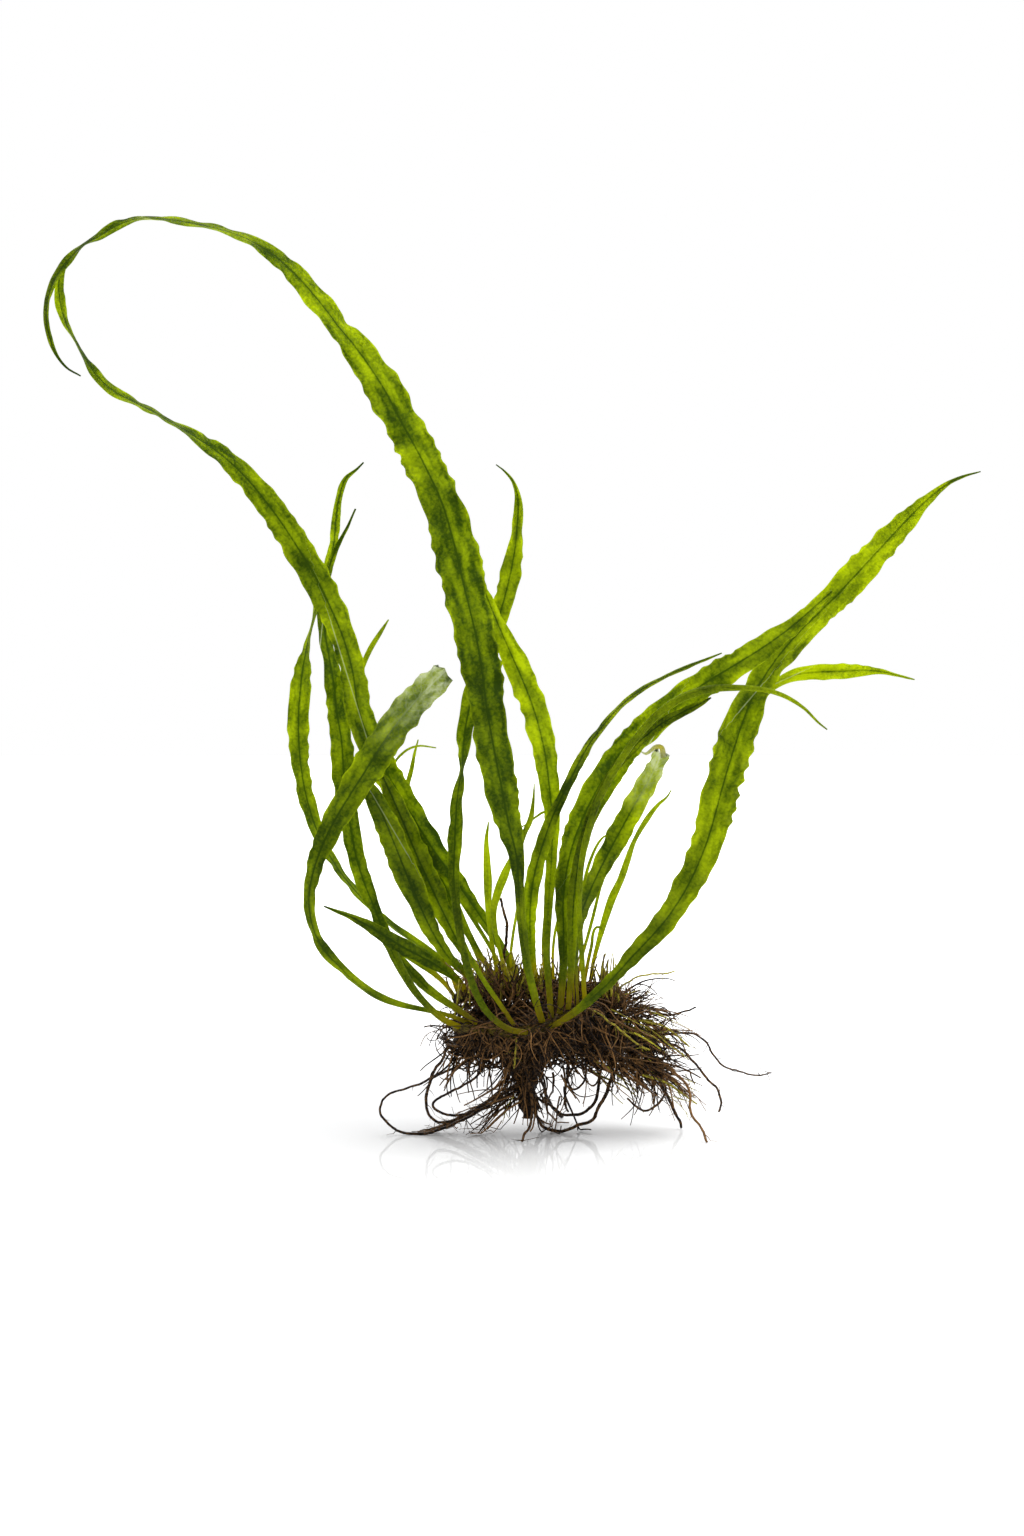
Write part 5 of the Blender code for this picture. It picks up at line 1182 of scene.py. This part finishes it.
# Worn fronds: two old leaves whose ends have died back, one curving up on the left and one on the right.
# The living part is green and leathery, the end is thin, pale grey-green, torn and ragged.
# The right one has a dry strip that has curled away from its torn end.
WORN_FRONDS = {
    # light let through from foot to tip, partly painted light and shade; across, up, depth, width, degrees
    # turned
    "frond_torn": ((0.56, 0.36, 0.34), (
        (-21, 31.6, -9.4, 1.3), (-27, 33.8, -9, 1.4), (-33, 35.2, -11.6, 1.5, 20), (-41, 37, -17, 2, 30),
        (-47, 39.4, -21, 2.6, 30), (-53, 43.6, -25, 2.8, 40), (-57.6, 47.8, -28, 3.2, 30),
        (-61.6, 52, -30, 3.4, 20), (-64.3, 57.2, -32, 3.2, 40), (-65.8, 63.2, -33, 3.6, 35),
        (-65.6, 70, -34, 4.2, 30), (-63.8, 77.2, -35, 5, 20), (-60.8, 84.6, -35.5, 6, 10),
        (-57, 91.6, -36, 7), (-52.6, 98.6, -36, 7.8), (-48.4, 105.2, -36.5, 8.4), (-44.4, 111.4, -37, 8.2),
        (-40, 117.4, -37.5, 8.2), (-35.2, 123, -38, 7.8), (-30.6, 127.6, -38.5, 7), (-27, 131, -39, 4.2),
    )),
    "frond_worn_tip": ((0.60, 0.40, 0.70), (
        (8.9, 36.4, -13.6, 1.7), (8.4, 46, -9, 1.8), (8.5, 54, -4, 2.4), (9.7, 61, 1, 3.3),
        (12, 67.2, 6, 4.2), (14.8, 73.4, 10, 5, 5), (18, 79.8, 14, 5.7), (21.5, 86.2, 17, 6.1),
        (25, 92.6, 19, 6.1), (28.5, 98.6, 20.4, 5.8), (31.2, 103.8, 21.2, 5), (33.2, 108.8, 21.6, 2.6),
    )),
}
DRY_STRIP = (
    (33.2, 106, 20.8, 1.9, 20), (32.6, 108.8, 20.8, 1.8, 40), (31, 109, 20.6, 1.6, 50),
    (29.5, 107.8, 20.4, 1.3, 50), (28.2, 107, 20.2, 0.9, 40), (27, 107.6, 20, 0.4, 20),
)
build_frond("frond_torn", *WORN_FRONDS["frond_torn"], 31.0, ragged=0.78)
build_frond("frond_worn_tip", *WORN_FRONDS["frond_worn_tip"], 32.0, ragged=0.74, dry_strip=DRY_STRIP)

# Centre fronds: one twisted leaf, one bright leaf and two small ones between the two sides.
# The twisted one turns edge-on halfway up, so its back catches the light.
# They start on both rhizomes, close together.
CENTRE_FRONDS = {
    # light let through from foot to tip, partly painted light and shade; across, up, depth, width, degrees
    # turned
    "frond_centre_twisted": ((0.30, 0.30, 0.72), (
        (-5, 29, -16.6, 1.7), (-9, 29.6, -18.6, 1.8), (-12.6, 31.4, -19, 1.8), (-16.6, 35.2, -19.6, 1.9),
        (-19.8, 41.2, -20, 2), (-22.2, 49, -20, 2.1), (-23.8, 57, -19.6, 2.2), (-25, 66, -18.6, 2.4),
        (-25.4, 74, -17, 3.4, 25), (-25.2, 81, -15.6, 4.2, 25), (-24.9, 88, -14, 4.2, 30),
        (-24.2, 96, -12, 4, 45), (-23, 103.4, -10, 3.8, 68), (-22.7, 108.4, -9, 4.2, 40),
        (-22.2, 114.2, -8, 4.8, 20), (-20.8, 121, -6, 5, 20), (-18.6, 129, -3.4, 5), (-15.8, 137, -0.8, 5),
        (-13, 145, 2, 5), (-11, 152, 4, 5.2), (-9.3, 159, 6, 5.6, 10), (-8.1, 165.6, 8, 4.4, 30),
        (-7.6, 172, 10, 3.2, 30), (-7.5, 178, 11, 2, 10), (-8.8, 183, 12, 1), (-11.4, 186.2, 12.6, 0.5),
        (-13.7, 188, 13, 0.35),
    )),
    "frond_centre_bright": ((0.45, 0.56, 0.72), (
        (1.7, 33, -15.4, 1.8), (1.1, 42, -13, 1.9), (0.5, 50, -9, 2), (0.6, 58, -5, 2.2), (1, 66, -2, 2.6),
        (1.6, 74, 0, 3), (2, 82, 0.6, 3.3), (1.9, 90, 0, 4), (1.2, 98, -2, 5.2), (0.2, 106, -4, 6),
        (-1.3, 113, -6, 6.8), (-3.3, 120, -8, 7), (-6, 127, -9, 6.8), (-9, 134, -10, 6.4, 10),
        (-12, 141, -11, 5, 30), (-14.5, 147, -12, 4, 35), (-17, 153, -13, 2, 20), (-19, 158, -13.6, 0.6),
    )),
    "frond_small_centre": ((0.45, 0.40, 0.70), (
        (-5.3, 43, 4.2, 1), (-6.2, 52, -7, 1), (-6.8, 62, -13, 1.1), (-7.4, 72, -16.6, 1.2),
        (-7.3, 79, -18, 1.4), (-6, 84.2, -18, 1.5), (-4.1, 88.6, -18, 1.6), (-3.3, 93.6, -18, 0.9),
        (-3, 98.6, -18, 0.35),
    )),
    "frond_small_crossing": ((0.40, 0.40, 0.60), (
        (-0.2, 43.6, 7.4, 0.8), (-0.6, 54, 10, 0.8), (0.4, 66, 10.6, 0.8), (1.7, 78, 9.6, 0.9),
        (1.9, 86, 7.6, 0.9), (0.2, 90.6, 4.6, 0.8), (-2.6, 89.3, 0.6, 0.7), (-5, 87.4, -2.6, 0.5),
        (-6.9, 86.4, -4.6, 0.35),
    )),
}
build_fronds(CENTRE_FRONDS, 41.0)

# Right fronds: leaves that lean and arch to the right, from a broad one to a thin drooping one.
# The long one and the small one behind it are young and clear, the broad one is old and dark.
# They stand on the right half of both rhizomes.
RIGHT_FRONDS = {
    # light let through from foot to tip, partly painted light and shade; across, up, depth, width, degrees
    # turned
    "frond_right_narrow": ((0.60, 0.38, 0.70), (
        (-2.8, 43.4, 5, 1.9), (-3.6, 50, 2.4, 2.4), (-4.2, 58, -1, 3.2), (-4, 66, -5, 4),
        (-2.8, 74, -8, 4.2), (-0.8, 81, -10, 4), (1.6, 88, -10, 3.4, 10), (4.6, 94.6, -8, 2.8, 20),
        (7.3, 100, -5, 2.8, 25), (9.8, 105, -2, 3, 20), (12.6, 109.8, 1, 2.6, 40), (16, 114.4, 4, 2.4, 50),
        (20.5, 119.6, 7, 2.2, 50), (26, 124.2, 10, 2, 50), (33, 128.2, 12, 1.6, 50),
        (41, 131.8, 13, 1.2, 40), (49.5, 135.2, 14, 0.4),
    )),
    "frond_right_broad": ((0.42, 0.32, 0.62), (
        (4.1, 34.2, -15, 1.9), (4.8, 42, -13, 2.1), (5.2, 50, -10, 2.7), (5.2, 58, -8, 3.6),
        (5.1, 65.6, -6, 4.5), (5.9, 73.4, -4.4, 5.4), (7.6, 81, -4, 6.2), (10.2, 88.2, -5, 7.2),
        (13.8, 95.6, -6, 7.6), (17.6, 101.8, -8, 7.4), (22, 107.6, -10, 7.4), (27, 113.2, -12, 7.4),
        (33, 118.4, -14, 7.2), (40, 123.6, -16, 7.4), (47, 128.2, -17, 7.6), (54, 132.4, -18, 7),
        (61, 136.8, -19, 6.2), (68, 141.8, -20, 4.8), (74.6, 147.4, -20, 3.2), (80.4, 152.6, -20, 0.9),
    )),
    "frond_right_long": ((0.46, 0.42, 0.48, 0.56, 0.64, 0.34, 0.44, 0.66, 0.70, 0.70, 0.74), (
        (1.6, 30.6, -16.6, 1.5), (5, 32.4, -18.4, 1.8), (9, 35.2, -19.4, 2.1), (13, 38.6, -19.6, 2.6),
        (17, 42.2, -19, 2.9), (20.5, 45.9, -18, 3.2), (24, 49.8, -16.6, 4), (28, 54, -14.6, 4.8),
        (32.5, 58.8, -12, 5.3, 15), (36.5, 64.2, -9, 5.7, 15), (40.2, 70.4, -6, 6.8, 10),
        (43.5, 77.6, -3, 7.3), (46.2, 85, -1, 7.7), (48.3, 92.6, 1, 9), (50.6, 101, 3, 9.1),
        (53.2, 109.4, 5, 9.3), (55.8, 117, 7, 8.6, 10), (59, 124.2, 9, 7.4, 35), (63.4, 131.4, 11, 7.4, 32),
        (68.8, 138.4, 13, 7.6, 22), (75, 144.8, 15, 6.8, 18), (81, 150.6, 16, 6.9, 12),
        (86, 156, 17, 7.3, 8), (91, 161.4, 18, 7.3, 5), (96, 166.8, 19, 6.3), (101, 172.2, 20, 5),
        (106, 177.2, 21, 3.2), (111, 181.4, 22, 1.5), (116, 184.3, 23, 0.8), (122, 186, 24, 0.35),
    )),
    "frond_right_drooping": ((0.70, 0.45, 0.70), (
        (11.2, 37, -13.6, 1.4), (10.5, 48, -15.4, 1.5), (9.8, 58, -17, 1.5), (9.6, 68, -18.4, 1.6),
        (10.8, 80, -19.6, 1.7), (14.2, 92, -20.4, 1.8), (19.6, 102.6, -21.6, 1.9), (26, 112, -23.4, 2),
        (32.5, 118.8, -25, 2.2, 15), (39, 122.9, -26, 2.4, 30), (46, 125.1, -26, 2.1, 20),
        (54, 125.5, -25.6, 1.7), (61, 125, -25, 1.4), (67, 123.2, -24, 1.2), (72.5, 119.8, -23, 0.9),
        (76.5, 115.8, -22.4, 0.6), (79, 113.8, -22, 0.35),
    )),
    "frond_right_folded": ((0.60, 0.42, 0.55), (
        (6.5, 35.4, -14.6, 1.7), (7.2, 45, -14, 2), (7.6, 55, -13, 2.7), (7.9, 63.6, -12.4, 3.4),
        (8.8, 73, -12.4, 3.3), (11.2, 84, -13.4, 2.9), (14.9, 94.2, -14, 2.9, 30),
        (19.8, 102.8, -15.4, 3, 40), (25.6, 109.4, -17.4, 3.2, 40), (32, 114.8, -19.8, 3.2, 40),
        (38, 118.3, -21.4, 2.7, 30), (43, 120.8, -22.2, 1.7, 15), (46.5, 122.8, -22.6, 0.4),
    )),
    "frond_right_small": ((0.60, 0.70, 0.95), (
        (17.2, 42, 5.6, 1.5), (21.4, 47.4, 12, 1.6), (28.2, 55, 18, 1.7), (35.4, 64.8, 23, 1.8),
        (41.6, 76.4, 27, 1.9), (46.4, 89.4, 30, 2), (50.6, 102.4, 32, 2), (55, 113.6, 33, 2.1),
        (59.2, 121.2, 33, 2.2), (64.2, 126.2, 32, 2.5, 20), (70, 129, 30.4, 3.5, 15),
        (76.4, 129.9, 28.6, 4.4), (83, 130.1, 27, 4.2), (89, 130.4, 25.4, 3), (94.2, 130, 24.2, 1.6),
        (99, 128.9, 23.2, 0.8), (103.5, 127.8, 22.4, 0.35),
    )),
    "frond_hidden_right": ((0.60, 0.60, 0.70), (
        (5.6, 43.4, 8, 0.9), (8.2, 52, 13, 0.9), (9.7, 60, 17, 0.9), (10.4, 67, 20, 1),
        (11.6, 73.6, 22.4, 1), (13.5, 79.2, 24.4, 0.9), (15.8, 83.2, 25.6, 0.7), (18.2, 84.8, 26.4, 0.35),
    )),
}
build_fronds(RIGHT_FRONDS, 51.0)

# Young leaves: small new blades and stalks that stand between the old ones, one still curled at its end.
# They are thinner, softer and more yellow than the old leaves, and let more light through.
# They grow from the rhizomes, and two small ones from a plantlet in the middle.
# Light let through by every young leaf, partly their clearer tissue and partly painted light
YOUNG_GLOW = (0.78,)
YOUNG_LEAVES = {
    # across, up, depth, width
    "frond_slim": (
        (12.6, 42.6, 6.6, 1.1), (13.4, 48, 6.2, 1.2), (14.9, 54, 4.4, 1.5), (16.6, 60, 2, 2),
        (18.8, 66.6, 0, 2.3), (21.2, 71.8, -2, 2), (23, 77, -4, 1.9), (25, 82.6, -5, 1.3),
        (28.2, 88.2, -6, 1.6), (31.5, 92.6, -7, 1.1), (34.2, 95, -8, 0.6), (35.4, 97, -8, 0.35),
    ),
    "plantlet_leaf_1": (
        (-12.9, 43, 1.8, 1.2), (-14.2, 50, -1.4, 1.2), (-15.3, 57, -2.4, 1.4), (-15.9, 64, -3, 1.8),
        (-16, 71, -3, 2.4), (-16.3, 78, -3, 1.9), (-16.4, 83, -3, 1.2), (-15.8, 88, -3, 0.35),
    ),
    "plantlet_leaf_2": (
        (-10.7, 43.2, 2.4, 1.2), (-12.2, 50, -3.4, 1.2), (-13.8, 57, -6, 1.4), (-14.4, 63, -7.4, 1.8),
        (-13.1, 68.6, -8.4, 2.4), (-11.3, 73.2, -9.2, 2.4), (-9.7, 77.2, -10, 1.4),
        (-8.6, 80.2, -10.6, 0.4),
    ),
    "young_frond": (
        (11, 42.8, 3.2, 1.1), (12.1, 49, 1.4, 1.1), (13.1, 53.6, 0.2, 1), (13.4, 56.4, -0.4, 0.9),
        (14.3, 58.4, -0.6, 0.8), (15.9, 58.2, -0.6, 0.7), (16.4, 56.6, -0.6, 0.5),
    ),
    "stalk_right": (
        (8.8, 43.2, 7.6, 1), (10.3, 50, 9.6, 1), (12, 56, 11.2, 1), (13.6, 62, 13.2, 1),
        (14.9, 67.4, 15.4, 0.9), (16.2, 72.4, 17.6, 0.8), (17.6, 77, 20, 0.4),
    ),
    "stalk_centre_1": (
        (2.4, 43.6, 7.6, 0.9), (2.2, 51, 6.6, 0.9), (2.9, 57.6, 5.8, 0.8), (4.2, 63, 5, 0.4),
    ),
    "stalk_centre_2": (
        (-9, 43.2, 3, 0.9), (-9.6, 50, 0, 0.9), (-9, 56, -2.4, 0.9), (-8.2, 61, -4.4, 0.8),
        (-7.6, 66, -6, 0.4),
    ),
    "stalk_left_front": (
        (-8.6, 31, -15, 1.3), (-12.4, 36.6, -16.2, 1.4), (-16.8, 43, -15.8, 1.4), (-20.6, 49.6, -14.4, 1.2),
        (-23, 55.4, -13, 0.6),
    ),
}
young_fronds = {name: (YOUNG_GLOW, stations) for name, stations in YOUNG_LEAVES.items()}
build_fronds(young_fronds, 71.0, young=YOUNG_LEAVES)

# Studio: a white, faintly glossy table in bright light from behind and above, as for a cut-out picture.
# None of it belongs to the plant.
FRAME_HEIGHT = 430.08
TABLE_REACH = 1.2
# The table is painted grey round the plant as a soft shadow, fading to white further out
TABLE_PLACE = (-0.045, 0.05, 0.0)
TABLE_NEAR = (0.49, 0.49, 0.495, 1.0)
TABLE_FAR = (0.93, 0.93, 0.93, 1.0)
TABLE_FADE = (0.02, 0.26)
TABLE_GLOSS = 0.18
TABLE_BLUR = 0.012
FRONT_DIM = 0.80
BACK_BRIGHT = 1.25
FRONT_TO_BACK = (-0.5, 0.7)
SOFTBOXES = {
    # place, aim and size in metres; power in watts
    "back softbox": ((0.15, 1.1, 0.75), (0.0, 0.0, 0.14), (1.4, 1.0), 16.0),
    "top softbox": ((0.45, 0.15, 1.25), (0.0, 0.0, 0.0), (1.4, 1.4), 24.0),
}


def add_object(name, data):
    """Object in the scene that shows the data."""
    thing = bpy.data.objects.new(name, data)
    bpy.context.scene.collection.objects.link(thing)
    return thing


def build_table():
    """Light table with a weak mirror image, painted grey round the plant as a soft shadow and whiter away
    from it.
    """
    mesh = bpy.data.meshes.new("table")
    corners = [(-TABLE_REACH, -TABLE_REACH, 0.0), (TABLE_REACH, -TABLE_REACH, 0.0),
               (TABLE_REACH, TABLE_REACH, 0.0), (-TABLE_REACH, TABLE_REACH, 0.0)]
    mesh.from_pydata(corners, [], [(0, 1, 2, 3)])
    material, tree, surface = new_material("table_white")
    place = put(tree, "ShaderNodeTexCoord", {}).outputs["Object"]
    away = put(tree, "ShaderNodeVectorMath", {0: place}, operation="LENGTH").outputs["Value"]
    # Painted shadow: grey near the plant, white further away
    white = mix_colour(tree, step_up(tree, away, *TABLE_FADE), TABLE_NEAR, TABLE_FAR)
    matt = put(tree, "ShaderNodeBsdfDiffuse", {"Color": white})
    gloss = put(tree, "ShaderNodeBsdfGlossy", {"Roughness": TABLE_BLUR})
    mixed = put(tree, "ShaderNodeMixShader", {0: TABLE_GLOSS, 1: matt.outputs[0], 2: gloss.outputs[0]})
    tree.links.new(mixed.outputs[0], surface)
    mesh.materials.append(material)
    table = add_object("table", mesh)
    table.location = TABLE_PLACE


def build_world():
    """White surroundings that shine most from behind and least from the front."""
    world = bpy.data.worlds.new("white studio")
    bpy.context.scene.world = world
    world.use_nodes = True
    tree = world.node_tree
    tree.nodes.clear()
    heading = put(tree, "ShaderNodeTexCoord", {}).outputs["Generated"]
    depth = put(tree, "ShaderNodeSeparateXYZ", {0: heading}).outputs[1]
    strength = step_up(tree, depth, *FRONT_TO_BACK, FRONT_DIM, BACK_BRIGHT)
    seen_by_eye = put(tree, "ShaderNodeLightPath", {}).outputs["Is Camera Ray"]
    level = put(tree, "ShaderNodeMix", {0: seen_by_eye, 2: strength, 3: 1.0}, data_type="FLOAT").outputs[0]
    glow = put(tree, "ShaderNodeBackground", {"Color": (1.0, 1.0, 1.0, 1.0), "Strength": level})
    put(tree, "ShaderNodeOutputWorld", {"Surface": glow.outputs[0]})


def add_softbox(name, place, aim, size, power):
    """Large soft light that points at a place."""
    light = bpy.data.lights.new(name, "AREA")
    light.shape = "RECTANGLE"
    light.size, light.size_y = size
    light.energy = power
    lamp = add_object(name, light)
    lamp.location = place
    lamp.rotation_euler = (Vector(aim) - Vector(place)).to_track_quat("-Z", "Y").to_euler()


def add_camera():
    """Camera at the eye that the routes are seen from."""
    camera_data = bpy.data.cameras.new("camera")
    camera_data.sensor_fit = "VERTICAL"
    camera_data.angle = 2.0 * math.atan(0.5 * FRAME_HEIGHT / EYE_DISTANCE)
    camera_data.clip_end = 50.0
    camera = add_object("camera", camera_data)
    camera.location = (EYE - FOOT) * MM
    camera.rotation_euler = (0.5 * math.pi - EYE_RISE, 0.0, 0.0)
    bpy.context.scene.camera = camera


build_table()
build_world()
for lamp_name, (lamp_place, lamp_aim, lamp_size, lamp_power) in SOFTBOXES.items():
    add_softbox(lamp_name, lamp_place, lamp_aim, lamp_size, lamp_power)
add_camera()
bpy.context.scene.view_settings.view_transform = "Standard"
